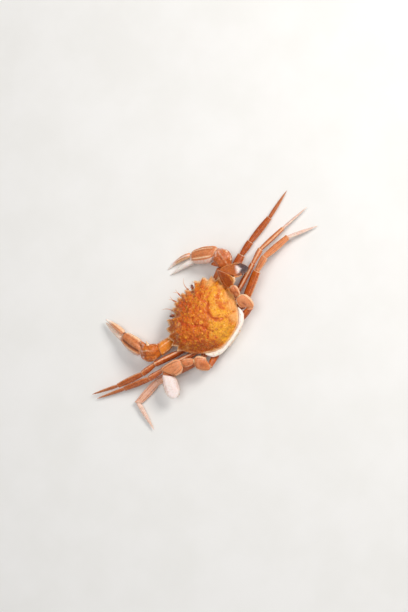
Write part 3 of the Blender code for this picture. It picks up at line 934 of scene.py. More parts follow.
def addShellSpines(skin):
    # short thorns above the mouth, and one along each side tooth
    look = backShell
    picker = random.Random(11)
    for side in (1, -1):
        for x, back in look["frontThorns"]:
            foot = (side * x, shellHigh.y - 3.0 - back, look["rimZ"] - 0.3)
            tip = (side * (x + 0.3), shellHigh.y - 0.4 - back, look["rimZ"] + 0.5 + picker.uniform(-0.3, 0.4))
            spine(skin, foot, tip, 0.55, paleFrom=0.25)
        for degrees in sideTeeth()[0]:
            tipX, tipY = onSideEllipse(degrees)
            footX, footY = onSideEllipse(degrees + 2.2, 0.945)
            foot = (side * footX, footY, look["rimZ"] + 0.1)
            spine(skin, foot, (side * tipX, tipY, look["rimZ"] + 0.35), 0.75, paleFrom=0.05)


makeBackShell()
print("back shell made")


# Body plates and wrists

class Plate:
    # a solid remeshed finely, then worked with small moves along its normals
    def __init__(self, node, voxel, smoothing):
        item = bpy.data.objects.new(node + "Fine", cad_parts[node].data.copy())
        bpy.context.scene.collection.objects.link(item)
        item.modifiers.new("weld", "WELD").merge_threshold = 0.00001
        remesh = item.modifiers.new("remesh", "REMESH")
        remesh.mode = "VOXEL"
        remesh.voxel_size = voxel * mm
        relax = item.modifiers.new("relax", "SMOOTH")
        relax.iterations = smoothing
        relax.factor = 0.5
        bpy.context.view_layer.update()
        self.mesh = bpy.data.meshes.new_from_object(item.evaluated_get(bpy.context.evaluated_depsgraph_get()))
        bpy.data.objects.remove(item)
        self.mesh.materials.clear()
        self.points = self.read("co") / mm
        self.normals = self.read("normal")
        self.paint = {}

    def read(self, what):
        values = np.zeros(len(self.mesh.vertices) * 3, np.float32)
        self.mesh.vertices.foreach_get(what, values)
        return values.reshape(-1, 3).astype(float)

    def lift(self, height):
        self.points += self.normals * height[:, None]

    def cut(self, mask, depth, dark):
        # sinks the points under the mask and paints shade into the cut
        self.lift(-depth * mask)
        strongest(self.paint, "dark", dark * mask)

    def build(self, name):
        self.mesh.vertices.foreach_set("co", (self.points * mm).astype(np.float32).reshape(-1))
        self.mesh.update()
        return newItem(name, self.mesh, self.paint)


breastPlates = {"voxel": 0.42, "smoothing": 6, "seamDepth": 0.7, "seamWidth": 0.42, "lumps": 0.14}


def makeBreastPlates():
    # the fused plates, with a seam between each pair of limbs, and a hollow for the tail flap
    look = breastPlates
    plate = Plate("thorax", look["voxel"], look["smoothing"])
    x, y, z = plate.points.T
    hips = [middleOf(cad[f"{limb}_right_base"].points).y for limb in ("claw", "leg2", "leg3", "leg4", "swim")]
    lower = 1 - step(6.5, 9.5, z)
    for front, back in zip(hips, hips[1:]):
        line = (front + back) / 2 * 0.86 + 0.16 * np.abs(x)
        seam = bell(y, line, look["seamWidth"]) * step(7.5, 10.5, np.abs(x)) * lower
        plate.cut(seam, look["seamDepth"], 0.9)
    plate.cut(bell(x, 0, 0.4) * lower, 0.5, 0.5)
    plate.cut(bell(np.abs(x), 10.8 - 0.12 * np.abs(y), 0.5) * (1 - step(2.5, 4.5, z)), 0.35, 0.5)
    plate.lift(ripple(plate.points, 2.4, 3) * look["lumps"])
    plate.paint["browned"] = 0.75 * step(6.0, 10.0, z)
    handIn(plate.build("breastPlates"), "belly", ["thorax"])


tailFlap = {
    "voxel": 0.26, "smoothing": 3, "joints": (6.6, 1.9, -3.2, -8.6, -14.2), "backJoints": (3.2, 7.2),
    "jointDepth": 0.3,
}


def makeTailFlap():
    # the folded tail, in rings that overlap like roof tiles
    look = tailFlap
    plate = Plate("tail_flap", look["voxel"], look["smoothing"])
    x, y, z = plate.points.T
    lean = 0.10 * np.abs(x)
    for at in look["joints"]:
        plate.cut(bell(y + lean, at, 0.3), look["jointDepth"], 1.0)
    for at in look["backJoints"]:
        plate.cut(bell(z, at, 0.32) * (1 - step(-19.5, -18.0, y)), look["jointDepth"], 1.0)
    ridge = bell(np.abs(x), 0, 1.2) * (1 - plate.paint["dark"])
    plate.lift(0.12 * ridge * np.clip(plate.normals[:, 2], 0, 1))
    plate.lift(ripple(plate.points, 1.8, 8) * 0.07)
    plate.points[:, 2] = np.maximum(z, 0.0)
    plate.paint["dark"] = plate.paint["dark"] * 0.8
    plate.paint["browned"] = 0.3 * step(2.0, 9.0, z)
    handIn(plate.build("tailFlap"), "belly", ["tail_flap"])


tailBand = {
    "stations": 150, "around": 48, "centreY": -4.0, "halfTurn": 64.0, "height": 1.5, "overlap": 0.35,
    "groove": 0.5, "scallop": 0.12, "scallopPitch": 5.2, "inset": 0.55, "passes": 5,
}


def makeTailBand():
    # the pale ring behind the shell: a glossy band with a groove along it, close against the rim
    look = tailBand
    z = backShell["rimZ"]
    centre = Vector((0, look["centreY"], z))
    rows = []
    for degrees in np.linspace(-look["halfTurn"], look["halfTurn"], look["stations"]):
        turn = math.radians(degrees - 90)
        way = Vector((math.cos(turn), math.sin(turn), 0))
        rim, outer = [cad[name].hit(centre + way * 60, -way) for name in ("carapace", "tail_ring")]
        if outer is not None:
            rows.append((turn, (rim - centre).length, (outer - centre).length))
    turn, rim, outer = np.array([row for row in rows if row[2] > row[1] + 0.2]).T
    for _ in range(look["passes"]):
        outer = relaxedLine(outer)
        rim = relaxedLine(rim)
    place = np.linspace(0, 1, len(turn))[:, None]
    scallop = look["scallop"] * np.cos(math.tau * np.arange(len(turn)) * 0.36 / look["scallopPitch"])[:, None]
    turn, inner, outer = turn[:, None], rim[:, None] - look["overlap"], outer[:, None] - look["inset"]
    ends = np.sqrt(np.clip(1 - np.abs(2 * place - 1) ** 6, 0, 1))
    cu, sv, _ = superellipse(look["around"], 2.4)
    reach = (inner + outer) / 2 + ((outer - inner) / 2 * (0.3 + 0.7 * ends) + scallop * ends) * cu
    cut = (bell(cu, -0.3, 0.07) + 0.6 * bell(cu, 0.62, 0.06)) * (sv > 0) * ends
    height = look["height"] * (0.45 + 0.55 * ends)
    rise = height * sv * (1 - 0.22 * np.clip(cu, 0, 1) ** 2) - look["groove"] * cut
    grid = np.stack([reach * np.cos(turn), look["centreY"] + reach * np.sin(turn), z + rise - 0.1], -1)
    grid[..., 2] += (ripple(grid, 1.2, 9) * 0.08 + ripple(grid, 4.0, 10) * 0.16) * np.abs(sv) ** 0.5
    # the seam is the band's inner edge against the shell: a painted shadow line there in grey and dark, and
    # painted shade in the groove
    seam = bell(cu, -1.0, 0.22)
    skin = Skin()
    skin.loft(grid, {
        "dark": np.maximum(0.45 * cut, 0.9 * seam),
        "grey": np.maximum(0.5 * step(0.2, 0.5, ripple(grid, 2.4, 11)) * (sv > 0), 0.5 * seam),
        "white": (0.55 + 0.45 * bell(cu, 0.25, 0.45)) * (sv > -0.4),
        "browned": 0.45 * bell(cu, 1.0, 0.3) * (0.6 + ripple(grid, 3.0, 14)),
    })
    handIn(skin.build("tailBand"), "belly", ["tail_ring"])


def makeMouthPlate(side):
    plate = Plate(f"mouth_plate_{side}", 0.2, 3)
    x, _, z = plate.points.T
    cut = np.maximum(bell(np.abs(x), 2.0 + 0.1 * (z - 3), 0.26), bell(z, 5.4, 0.26))
    plate.cut(cut, 0.16, 0.8)
    plate.lift(ripple(plate.points, 1.2, 13 if side == "right" else 11) * 0.08)
    plate.points[:, 2] = np.maximum(z, 0.5)
    plate.paint["browned"] = 0.35 + 0.5 * step(2.0, 7.5, z)
    handIn(plate.build("mouthPlate" + side.capitalize()), "belly", [f"mouth_plate_{side}"])


makeBreastPlates()
makeTailFlap()
makeTailBand()
for side in sides:
    makeMouthPlate(side)
print("body plates made")


# Eyes on their stalks

eyes = {"ball": (1.35, 1.35, 1.6), "stalk": (1.15, 1.1, 1.0, 0.95, 1.0, 1.2, 1.4, 1.3)}


def makeEye(side):
    sign = 1 if side == "right" else -1
    low, high = boxOf(f"eye_{side}")
    centre = Vector(((low.x + high.x) / 2, (low.y + high.y) / 2 - 0.5, high.z - 2.5))
    foot = Vector((centre.x - sign * 1.5, centre.y - 1.3, low.z))
    path = curvePoints(foot, foot.lerp(centre, 0.6) + Vector((0, 0, 0.2)), centre, len(eyes["stalk"]))
    skin = Skin()
    tubeLoft(skin, path, eyes["stalk"], {"pale": np.linspace(1.0, 0.75, len(path))[:, None]}, 20)
    axes = (Vector((0, 0, 1)), Vector((0, 1, 0)), Vector((sign, 0.5, 0)).normalized())
    cap = np.linspace(1.0, 0.0, 18)[:, None] ** 1.5
    ballLoft(skin, centre, axes, eyes["ball"], {"pale": cap}, 28, len(cap))
    handIn(skin.build("eye" + side.capitalize()), "eye", [f"eye_{side}"])


for side in sides:
    makeEye(side)
print("eyes made")


# Walking legs

walkingLeg = {
    "kinds": ("base", "thigh", "knee", "shin", "tip"),
    "tipward": ((0.0, 0.0), (0.0, 0.05), (0.05, 0.1), (0.1, 0.35), (0.35, 0.9)),
    # how peach, browned and white-tipped each leg is
    "peach": {"leg4_right": 0.65, "leg3_right": 0.5, "leg3_left": 0.3, "leg4_left": 1.0, "leg2_left": 0.2},
    "peachShare": {"base": 0.0, "thigh": 0.35},
    "browned": {"leg2_right": 0.45, "leg2_left": 0.15, "leg3_left": 0.1},
    "tipWhite": {"leg4_right": 0.55, "leg3_right": 0.5, "leg4_left": 0.5, "leg2_right": 0.1,
                 "leg2_left": 0.2},
    "hairy": {"shin": 0.5, "tip": 0.45},
    "base": {
        "outline": ((0, 0.72), (0.35, 1.0), (0.75, 0.95), (1, 0.8)), "power": 2.3, "around": 32, "step": 0.45,
        "endRadius": (0.9, 0.7), "neck": (0.6, 0.68), "edgePale": 0.35, "collarPale": 0.52, "collar": 0.06,
        "grooves": ((0.5, 0.1, 0.06, 0),),
    },
    "thigh": {
        "outline": ((0, 0.66), (0.1, 0.80), (0.35, 0.97), (0.65, 1.0), (0.88, 0.95), (1, 0.86)), "around": 64,
        "endRadius": (0.9, 0.6), "neck": (0.74, 0.86), "edgePale": 0.62, "collarPale": 0.62, "collar": 0.05,
        "keel": 0.03, "edgeWidth": 0.3, "band": (-0.57, 0.1, 0.5),
        "grooves": ((0.7, 0.08, 0.12, 0.04), (-0.72, 0.07, 0.12, -0.04), (-0.38, 0.06, 0.08, -0.1)),
    },
    "knee": {
        "outline": ((0, 0.7), (0.35, 0.86), (0.75, 1.0), (1, 0.88)), "power": 2.4, "step": 0.35,
        "endRadius": (0.7, 0.6), "neck": (0.8, 0.86), "edgePale": 0.6, "collarPale": 0.59, "collar": 0.05,
        "keel": 0.03, "grooves": ((0.55, 0.09, 0.12, 0.16), (-0.5, 0.09, 0.12, -0.16)),
        "band": (-0.7, 0.1, 0.4),
    },
    "shin": {
        "outline": ((0, 0.78), (0.2, 0.94), (0.45, 1.0), (0.8, 0.9), (1, 0.76)), "endRadius": (0.7, 0.5),
        "neck": (0.82, 0.88), "edgePale": 0.62, "collarPale": 0.59, "collar": 0.06, "keel": 0.04,
        "edgeWidth": 0.3,
        "grooves": ((0.6, 0.1, 0.13, 0.0), (-0.6, 0.09, 0.13, 0.0), (0.02, 0.07, 0.07, 0.0)),
        "band": (-0.3, 0.14, 0.4),
    },
    "tip": {
        "outline": ((0, 0.82), (0.15, 0.97), (0.35, 0.92), (0.6, 0.70), (0.82, 0.42), (0.94, 0.2), (1, 0.07)),
        "power": 2.2, "around": 36, "endRadius": (0.6, 0.4), "neck": (0.84, 0.9), "edgePale": 0.6,
        "collarPale": 0.52, "edgeWidth": 0.3, "grooves": ((0.42, 0.12, 0.16, 0.0), (-0.42, 0.12, 0.16, 0.0)),
        "lumps": 0.04,
    },
}
hairRoots = []  # where bristles grow: point, way, length


def readLimb(limb, side, kinds):
    chain = readChain([f"{limb}_{side}_{kind}" for kind in kinds])
    setMitres(chain)
    return chain


def jointSkin(skin, chain):
    # the soft skin that shows between two plates
    for near, far in zip(chain, chain[1:]):
        reach = min(near["halfWide"], far["halfWide"]) * 0.55
        deep = min(near["halfThick"], far["halfThick"]) * 0.58
        axes = (far["wide"], far["thick"], far["wide"].cross(far["thick"]))
        ballLoft(skin, far["start"], axes, (reach, deep, min(reach, deep) * 1.1), {"skin": 1.0}, 20, 10)


def growHair(part, halfWide, z, share):
    picker = random.Random(part["name"])
    rows = int(part["length"] / 0.55)
    for sign in (1, -1):
        for i in range(rows):
            at = part["length"] * (0.12 + 0.74 * (i + picker.random()) / rows)
            if picker.random() > share:
                continue
            reach = np.interp(at, z[:, 0], halfWide[:, 0])
            root = part["start"] + part["along"] * at + part["wide"] * sign * (reach - 0.1)
            root = root + part["thick"] * picker.uniform(-0.25, 0.25)
            way = part["wide"] * sign + part["along"] * picker.uniform(0.5, 1.1)
            way = way + part["thick"] * picker.uniform(-0.4, 0.4)
            hairRoots.append((root, way.normalized(), picker.uniform(0.6, 1.2)))


def limbSkin(look, chain, tones):
    # a leg's segments, their bristle roots and the soft skin in the joints
    skin = Skin()
    for kind, part, tipward in zip(look["kinds"], chain, look["tipward"]):
        halfWide, z = segmentLoft(skin, part, look[kind], tipward, tones[kind])
        if kind in look["hairy"]:
            growHair(part, halfWide, z, look["hairy"][kind])
    jointSkin(skin, chain)
    return skin


def makeWalkingLeg(leg, side):
    look = walkingLeg
    name = f"{leg}_{side}"
    chain = readLimb(leg, side, look["kinds"])
    tones = {}
    for kind in look["kinds"]:
        peach = look["peach"].get(name, 0.0) * look["peachShare"].get(kind, 1.0)
        white = look["tipWhite"].get(name, 0.0) if kind == "tip" else 0.4 * step(0.8, 1.0, peach)
        tones[kind] = {"peach": peach, "white": white, "browned": look["browned"].get(name, 0.0)}
    skin = limbSkin(look, chain, tones)
    for part in chain[1:3]:
        edge = part["end"] - part["along"] * 0.9 + part["wide"] * part["halfWide"] * 0.75
        spine(skin, edge - part["along"] * 0.8, edge + part["along"] * 0.9 + part["wide"] * 0.55, 0.5)
    handIn(skin.build(leg + side.capitalize()), "limb", [part["name"] for part in chain])


for leg in ("leg2", "leg3", "leg4"):
    for side in sides:
        makeWalkingLeg(leg, side)
print("walking legs made")


# Swimming legs and their paddles

swimLeg = {
    "kinds": ("base", "thigh", "knee", "shin"),
    "tipward": ((0.0, 0.0), (0.0, 0.0), (0.0, 0.1), (0.1, 0.2)),
    "hairy": {"thigh": 1.0, "shin": 0.5},
    "base": {
        "outline": ((0, 0.8), (0.35, 1.0), (0.75, 0.92), (1, 0.78)), "power": 2.3, "around": 36,
        "collar": 0.07, "endRadius": (1.2, 1.0), "neck": (0.4, 0.5), "edgePale": 0.4, "collarPale": 0.55,
        "grooves": ((0.45, 0.1, 0.08, 0.1),),
    },
    "thigh": {
        "outline": ((0, 0.56), (0.12, 0.76), (0.35, 0.98), (0.65, 1.0), (0.88, 0.9), (1, 0.72)), "power": 2.3,
        "around": 64, "step": 0.3, "endRadius": (4.2, 4.6), "neck": (0.36, 0.42), "edgePale": 0.95,
        "collarPale": 0.4, "edgeWidth": 0.45, "heart": 0.6, "edgeWash": 0.75, "band": (0.5, 0.12, 0.7),
        "grooves": ((0.7, 0.05, 0.1, 0.1), (-0.72, 0.05, 0.1, -0.1), (0.3, 0.05, 0.05, 0.5)),
    },
    "knee": {
        "outline": ((0, 0.62), (0.35, 0.86), (0.75, 1.0), (1, 0.82)), "power": 2.3, "around": 44,
        "step": 0.35,
        "endRadius": (2.2, 2.2), "neck": (0.45, 0.5), "edgePale": 0.9, "collarPale": 0.5, "collar": 0.02,
        "heart": 0.6, "edgeWash": 0.7, "band": (0.0, 0.2, 0.6),
        "grooves": ((0.5, 0.07, 0.14, 0.3), (-0.5, 0.07, 0.12, -0.3)),
    },
    "shin": {
        "outline": ((0, 0.62), (0.12, 0.82), (0.3, 0.98), (0.55, 1.0), (0.82, 0.92), (1, 0.78)), "power": 2.4,
        "around": 72, "step": 0.3, "endRadius": (3.6, 2.6), "neck": (0.4, 0.55), "edgePale": 0.9,
        "collarPale": 0.55, "collar": 0.03, "edgeWidth": 0.4, "heart": 0.4, "edgeWash": 0.6,
        "band": (0.5, 0.14, 0.6),
        "grooves": ((0.7, 0.07, 0.12, 0.12), (-0.72, 0.07, 0.12, -0.12), (0.3, 0.12, 0.08, 0.5),
                    (-0.25, 0.12, 0.07, -0.4)),
    },
    "right": {"thigh": {"peach": 0.85, "white": 0.1}, "knee": {"peach": 0.5},
              "shin": {"golden": "edge", "browned": 0.5}},
    "left": {"thigh": {"peach": 0.55}, "knee": {"peach": 0.6}, "shin": {"peach": 1.0}},
}
paddles = {
    "around": 72, "rings": 84, "rib": 0.28, "hairs": 230,
    # how far each colour reaches: orange from the base and edges, grey at the tip
    "right": {"baseOrange": 1.15, "edgeOrange": 1.0, "tipGrey": 1.0, "outline": (
        (0, 0.28), (0.06, 0.46), (0.2, 0.74), (0.42, 0.88), (0.6, 0.84), (0.8, 0.62), (0.92, 0.38),
        (1, 0.14))},
    "left": {"baseOrange": 0.25, "edgeOrange": 0.35, "tipGrey": 0.0, "outline": (
        (0, 0.30), (0.06, 0.48), (0.2, 0.74), (0.42, 0.90), (0.6, 0.92), (0.8, 0.76), (0.92, 0.50),
        (1, 0.2))},
}


def makePaddle(side, part):
    look = paddles
    tones = look[side]
    place = 0.5 - 0.5 * np.cos(np.linspace(0.12, math.pi - 0.02, look["rings"]))[:, None]
    z = place * part["length"]
    cu, sv, _ = superellipse(look["around"], 2.0)
    lap = np.abs(cu)
    share = smoothCurve(tones["outline"], place) * roundedEnds(z, part["length"], (0.8, 2.2), (0.6, 0.1))
    halfWide = part["halfWide"] * share
    u = halfWide * cu
    flat = part["halfThick"] * (1.0 - 0.55 * place) * np.clip(share * 2.4, 0, 1)
    rib = bell(cu, 0, 0.07) * (1 - step(0.75, 0.95, place))
    cut = bell(lap, 0.84, 0.05) * step(0.05, 0.2, place)
    cut = np.maximum(cut, 0.4 * bell(lap, 0.42, 0.06) * (1 - step(0.5, 0.8, place)))
    v = flat * np.sign(sv) * np.abs(sv) ** 0.75 * (1 - 0.28 * cut) + 0.5 * look["rib"] * rib * np.sign(sv)
    v = v + 0.5 * (1 - (u / part["halfWide"]) ** 2) * np.sin(math.pi * place)  # slightly cupped
    grid = mitred(part, z, u, v)
    grid = grid + np.array(part["thick"]) * (ripple(grid, 3.0, 21) * 0.12)[..., None]
    base = 1 - step(tones["baseOrange"] * 0.28, tones["baseOrange"] * 0.58 + 0.02, place)
    edge = step(0.35, 0.8, lap) * (1 - step(0.6, 0.9, place))
    skin = Skin()
    # dark is painted shade in the grooves near the edges, with a darker line along the rib
    skin.loft(grid, {
        "browned": np.maximum(base * 0.95, edge * tones["edgeOrange"]),
        "grey": tones["tipGrey"] * step(0.5, 0.86, place + 0.2 * lap), "dark": 0.45 * cut + 0.25 * rib,
        "golden": step(0.86, 0.97, lap) * (1 - step(0.55, 0.75, place)) * tones["baseOrange"],
    })
    for i in range(look["hairs"]):
        picker = random.Random(f"{side}{i}")
        at = picker.uniform(0.1, 0.99)
        sign = picker.choice((1, -1))
        reach = np.interp(at, place[:, 0], halfWide[:, 0])
        root = part["start"] + part["along"] * at * part["length"] + part["wide"] * sign * (reach - 0.15)
        lean = 0.5 + 2.0 * max(0.0, at - 0.7)
        way = part["wide"] * sign + part["along"] * lean + part["thick"] * picker.uniform(-0.25, 0.25)
        hairRoots.append((root, way.normalized(), picker.uniform(0.8, 1.5)))
    handIn(skin.build("paddle" + side.capitalize()), "paddle", [part["name"]])


def makeSwimLeg(side):
    look = swimLeg
    chain = readLimb("swim", side, look["kinds"] + ("paddle",))
    tones = {kind: dict(look[side].get(kind, {})) for kind in look["kinds"]}
    for kind, part in zip(look["kinds"], chain):
        if tones[kind].get("golden") == "edge":
            cu = superellipse(look[kind]["around"], look[kind]["power"])[0]
            tones[kind]["golden"] = step(0.45, 0.75, cu * math.copysign(1, part["wide"].x))
    skin = limbSkin(look, chain, tones)
    handIn(skin.build("swimLeg" + side.capitalize()), "limb", [part["name"] for part in chain[:-1]])
    makePaddle(side, chain[-1])


for side in sides:
    makeSwimLeg(side)
print("swimming legs made")


# Claws

claw = {
    "base": {
        "outline": ((0, 0.76), (0.35, 1.0), (0.75, 0.95), (1, 0.84)), "power": 2.3, "around": 40,
        "endRadius": (1.4, 1.1), "neck": (0.4, 0.45), "edgePale": 0.3, "collarPale": 0.52, "collar": 0.06,
    },
    "arm": {
        "outline": ((0, 0.5), (0.2, 0.74), (0.5, 0.92), (0.8, 1.0), (1, 0.86)), "around": 56, "step": 0.38,
        "endRadius": (1.6, 1.3), "neck": (0.45, 0.5), "edgePale": 0.55, "collarPale": 0.55, "collar": 0.05,
        "grooves": ((0.45, 0.08, 0.06, 0.2),), "lumps": 0.14, "lumpSize": 1.8,
        "ridges": ((60, 9, 0.3, 1.3), (120, 9, 0.25, 1.3)), "ridgePale": 0.5,
    },
    "wrist": {"voxel": 0.26, "smoothing": 34, "swell": 0.45, "ridge": 0.45, "pitch": 1.3, "lumps": 0.3},
    # the palm, from the movable finger's side (0 degrees) over the upper face (90) to the lower edge (180)
    "palm": {
        "outline": ((0, 0.66), (0.12, 0.86), (0.34, 1.0), (0.62, 0.96), (0.86, 0.84), (1, 0.70)),
        "around": 84, "step": 0.26, "power": 2.5, "dropPlace": 0.965, "lumps": 0.12,
    },
    "finger": {"around": 40, "step": 0.24, "toothPitch": 1.7, "toothHeight": 0.42, "grooves": (50, 112)},
    "lowerWhite": 0.75,
    "right": {
        "fixedWhite": 1.0, "movablePeach": 0.9, "movableWhite": 0.55, "thorn": (-25, 6.0),
        "base": {}, "arm": {"golden": 0.2}, "wrist": {"peach": 0.35, "golden": 0.15}, "palm": {"peach": 0.6},
        # where the white lower face starts and ends, in degrees
        "lower": (112, 122, 330, 352),
        # ridges: degrees, width, height, bead pitch; grooves: degrees, width, depth
        "ridges": ((10, 8, 0.3, 1.15), (46, 6, 0.45, 1.1), (102, 6, 0.42, 1.15), (158, 8, 0.2, 0),
                   (236, 9, 0.3, 0), (304, 9, 0.3, 0)),
        "grooves": ((29, 6, 0.5), (57, 4, 0.3), (91, 4, 0.25), (270, 16, 0.15)),
    },
    "left": {
        "fixedWhite": 0.55, "movablePeach": 0.7, "movableWhite": 0.35, "thorn": (-28, 8.0),
        "base": {"golden": 0.5}, "arm": {"golden": 0.6},
        "wrist": {"golden": 0.35, "peach": 0.1, "browned": 0.15},
        "palm": {"peach": 0.6, "golden": 0.2}, "lower": (110, 122, 330, 352),
        "ridges": ((355, 15, 0.6, 1.15), (50, 5, 0.14, 1.1), (106, 7, 0.45, 1.15), (158, 9, 0.4, 0),
                   (236, 9, 0.3, 0)),
        "grooves": ((22, 5, 0.3), (88, 8, 0.8), (270, 16, 0.15)),
    },
}


def acrossHand(name, hand, z):
    # both sides of a solid in the hand's plane, at a distance along the palm
    at = hand["start"] + hand["along"] * z
    bottom, top = [cad[name].hit(at + hand["wide"] * far, hand["wide"] * -far) for far in (-20.0, 20.0)]
    if top is None or bottom is None:
        return None
    return (bottom - at).dot(hand["wide"]), (top - at).dot(hand["wide"])


def alongHand(name, hand, pick):
    # how far out a solid starts (min) or ends (max)
    return pick((p - hand["start"]).dot(hand["along"]) for p in cad[name].points)


def readHand(side, joint):
    # the palm lies in the plane of both fingers, and its middle line starts at the wrist
    handName, fingerName = f"claw_{side}_hand", f"claw_{side}_finger"
    points = cad[handName].points + cad[fingerName].points
    centre = middleOf(points)
    table = np.array([tuple(p - centre) for p in points])
    thick = Vector(np.linalg.eigh(table.T @ table)[1][:, 0])
    if thick.z < 0:
        thick = -thick
    hand = {"name": handName, "start": joint, "thick": thick}
    along = (freeEnd(fingerName, joint) - joint).normalized()
    for _ in range(6):
        hand["along"] = (along - thick * along.dot(thick)).normalized()
        hand["wide"] = thick.cross(hand["along"])
        middles = []
        for z in (5.0, 8.0, 11.0, 14.0):
            middles.append(hand["along"] * z + hand["wide"] * sum(acrossHand(handName, hand, z)) / 2)
        along = middleOf(middles).normalized()
    hand["length"] = alongHand(fingerName, hand, min) - 1.4
    fixed = [p for p in cad[handName].points if (p - joint).dot(hand["along"]) > hand["length"] + 3.0]
    if (middleOf(cad[fingerName].points) - middleOf(fixed)).dot(hand["wide"]) < 0:
        hand["wide"] = -hand["wide"]
    spans = [acrossHand(handName, hand, z) for z in (5.5, 6.5, 7.5)]
    hand["halfWide"] = max((high - low) / 2 for low, high in spans)
    hand["halfThick"] = max(abs((p - joint).dot(thick)) for p in cad[handName].points)
    return hand


def fingerLine(name, hand, first):
    # the middle and the half width of a finger, sliced across the hand
    rows = []
    for z in np.linspace(first, alongHand(name, hand, max) - 0.15, 24):
        span = acrossHand(name, hand, float(z))
        if span:
            rows.append((z, (span[0] + span[1]) / 2, (span[1] - span[0]) / 2))
    return np.array(rows)


def fingerShape(line, z, thinning):
    # a finger's middle and half width at each place, rounded off at the tip
    middle, half = [np.interp(z, line[:, 0], relaxedLine(line[:, column])) for column in (1, 2)]
    return middle, half * thinning * np.clip(line[-1, 0] + 0.15 - z, 0, 1) ** 0.5 + 0.04


def bitingTeeth(turn, degrees, z, first, last):
    # blunt teeth along the edge that bites, alternately larger and smaller
    look = claw["finger"]
    size = 0.7 + 0.3 * np.cos(math.pi * z / look["toothPitch"])
    span = step(first, first + 1.5, z) * (1 - step(last - 3.5, last - 1.5, z))
    edge = bellAt(turn, degrees, math.degrees(0.5))
    return beads(z - first, look["toothPitch"]) ** 1.2 * size * span * edge * look["toothHeight"]


def palmLoft(skin, hand, side):
    # palm and fixed finger in one skin
    look = claw["palm"]
    own = claw[side]
    palm = hand["length"]
    line = fingerLine(hand["name"], hand, palm + 2.6)
    reach = line[-1, 0] + 0.15
    z = np.append(np.arange(0, reach, look["step"]), reach)[:, None]
    place = np.clip(z / palm, 0, 1)
    onPalm = 1 - step(palm * look["dropPlace"], palm + 2.2, z)
    share = smoothCurve(look["outline"], place) * roundedEnds(z, 1e6, (2.2, 1.0), (0.5, 1.0)) * onPalm
    middle, half = fingerShape(line, z, 1.0)
    lowEdge = -hand["halfWide"] * share + (middle - half) * (1 - onPalm)
    highEdge = hand["halfWide"] * share + (middle + half) * (1 - onPalm)
    halfWide = (highEdge - lowEdge) / 2
    cu, sv, turn = superellipse(look["around"], look["power"])
    u = halfWide * cu
    v = (hand["halfThick"] * share + half * 1.2 * (1 - onPalm)) * sv
    fade = step(0.05, 0.16, place) * (1 - step(palm * 0.9, palm, z))
    fingerFade = step(palm + 1.0, palm + 4.0, z) * (1 - step(reach - 5.0, reach - 1.0, z))
    onFinger = step(palm * 0.86, palm + 3.0, z)
    paint = dict(own["palm"])
    for angle, width, height, pitch in own["ridges"]:
        ridge = bellAt(turn, angle, width)
        bead = 0.5 + 0.5 * beads(z, pitch) if pitch else 1.0
        grow = height * ridge * bead * np.maximum(fade, 0.4 * fingerFade)
        u = u + grow * np.cos(turn)
        v = v + grow * np.sin(turn)
        strongest(paint, "pale", min(0.85, 2 * height) * ridge * fade)
    for angle, width, depth in own["grooves"]:
        groove = bellAt(turn, angle, width) * fade
        u = u - depth * groove * np.cos(turn)
        v = v - depth * groove * np.sin(turn)
        # the groove is also darkened: painted shade
        strongest(paint, "dark", groove * min(1.0, depth * 1.8))
    starts, full, fades, ends = own["lower"]
    lower = step(starts, full, np.degrees(turn)) * (1 - step(fades, ends, np.degrees(turn)))
    strongest(paint, "white", claw["lowerWhite"] * lower * (1 - 0.3 * fade), own["fixedWhite"] * onFinger)
    strongest(paint, "pale", 0.6 * onFinger, 0.7 * bell(z, 0.4, 0.8))
    # painted shade in the notch where the movable finger hinges
    strongest(paint, "dark", 0.75 * bell(np.cos(turn), 1.0, 0.12) * bell(z, palm + 1.0, 1.0))
    paint["dark"] = paint["dark"] * (1 - onFinger * 0.3)
    paint["tipward"] = 0.25 + 0.5 * step(palm * 0.8, reach, z)
    u = u + bitingTeeth(turn, 0, z, palm + 2.5, reach) + (lowEdge + highEdge) / 2
    grid = mitred(dict(hand, length=1e6, endPlane=hand["along"]), z, u, v)
    skin.loft(lumpy(grid, 1.7, 31, look["lumps"] * np.clip(halfWide / 3, 0.1, 1)), paint)


def fingerLoft(skin, hand, side):
    # the movable finger, which hinges beside the fixed one
    look = claw["finger"]
    own = claw[side]
    name = f"claw_{side}_finger"
    start = alongHand(name, hand, min)
    line = fingerLine(name, hand, start + 0.6)
    reach = line[-1, 0] + 0.15
    z = np.append(np.arange(start - 0.9, reach, look["step"]), reach)[:, None]
    middle, half = fingerShape(line, z, 0.55 + 0.45 * step(start - 0.9, start + 1.6, z))
    cu, sv, turn = superellipse(look["around"], 2.3)
    u = half * cu - bitingTeeth(turn, 180, z, start + 2.0, reach) + 0.25 * bell(z, start + 1.0, 0.9) * cu
    v = 1.2 * half * sv
    fade = step(start + 1.5, start + 4.0, z) * (1 - step(reach - 6.0, reach - 2.0, z))
    tip = step(start + 6.0, reach, z)
    # dark is painted shade where the finger's root goes into the palm, and in its grooves
    paint = {
        "pale": np.maximum(0.8 * bell(cu, -1.0, 0.6), 0.7 * bell(cu, 1.0, 0.3)),
        "white": np.maximum(0.9 * tip, own["movableWhite"] * bell(cu, 0.1, 0.5)),
        "dark": bell(z, start - 0.6, 0.5), "peach": own["movablePeach"], "tipward": 0.45 + 0.5 * tip,
    }
    for angle in look["grooves"]:
        cut = bell(turn, math.radians(angle), 0.16) * fade
        v = v - 0.22 * cut
        strongest(paint, "dark", 0.6 * cut)
    skin.loft(placed(hand, z, u + middle, v), paint)


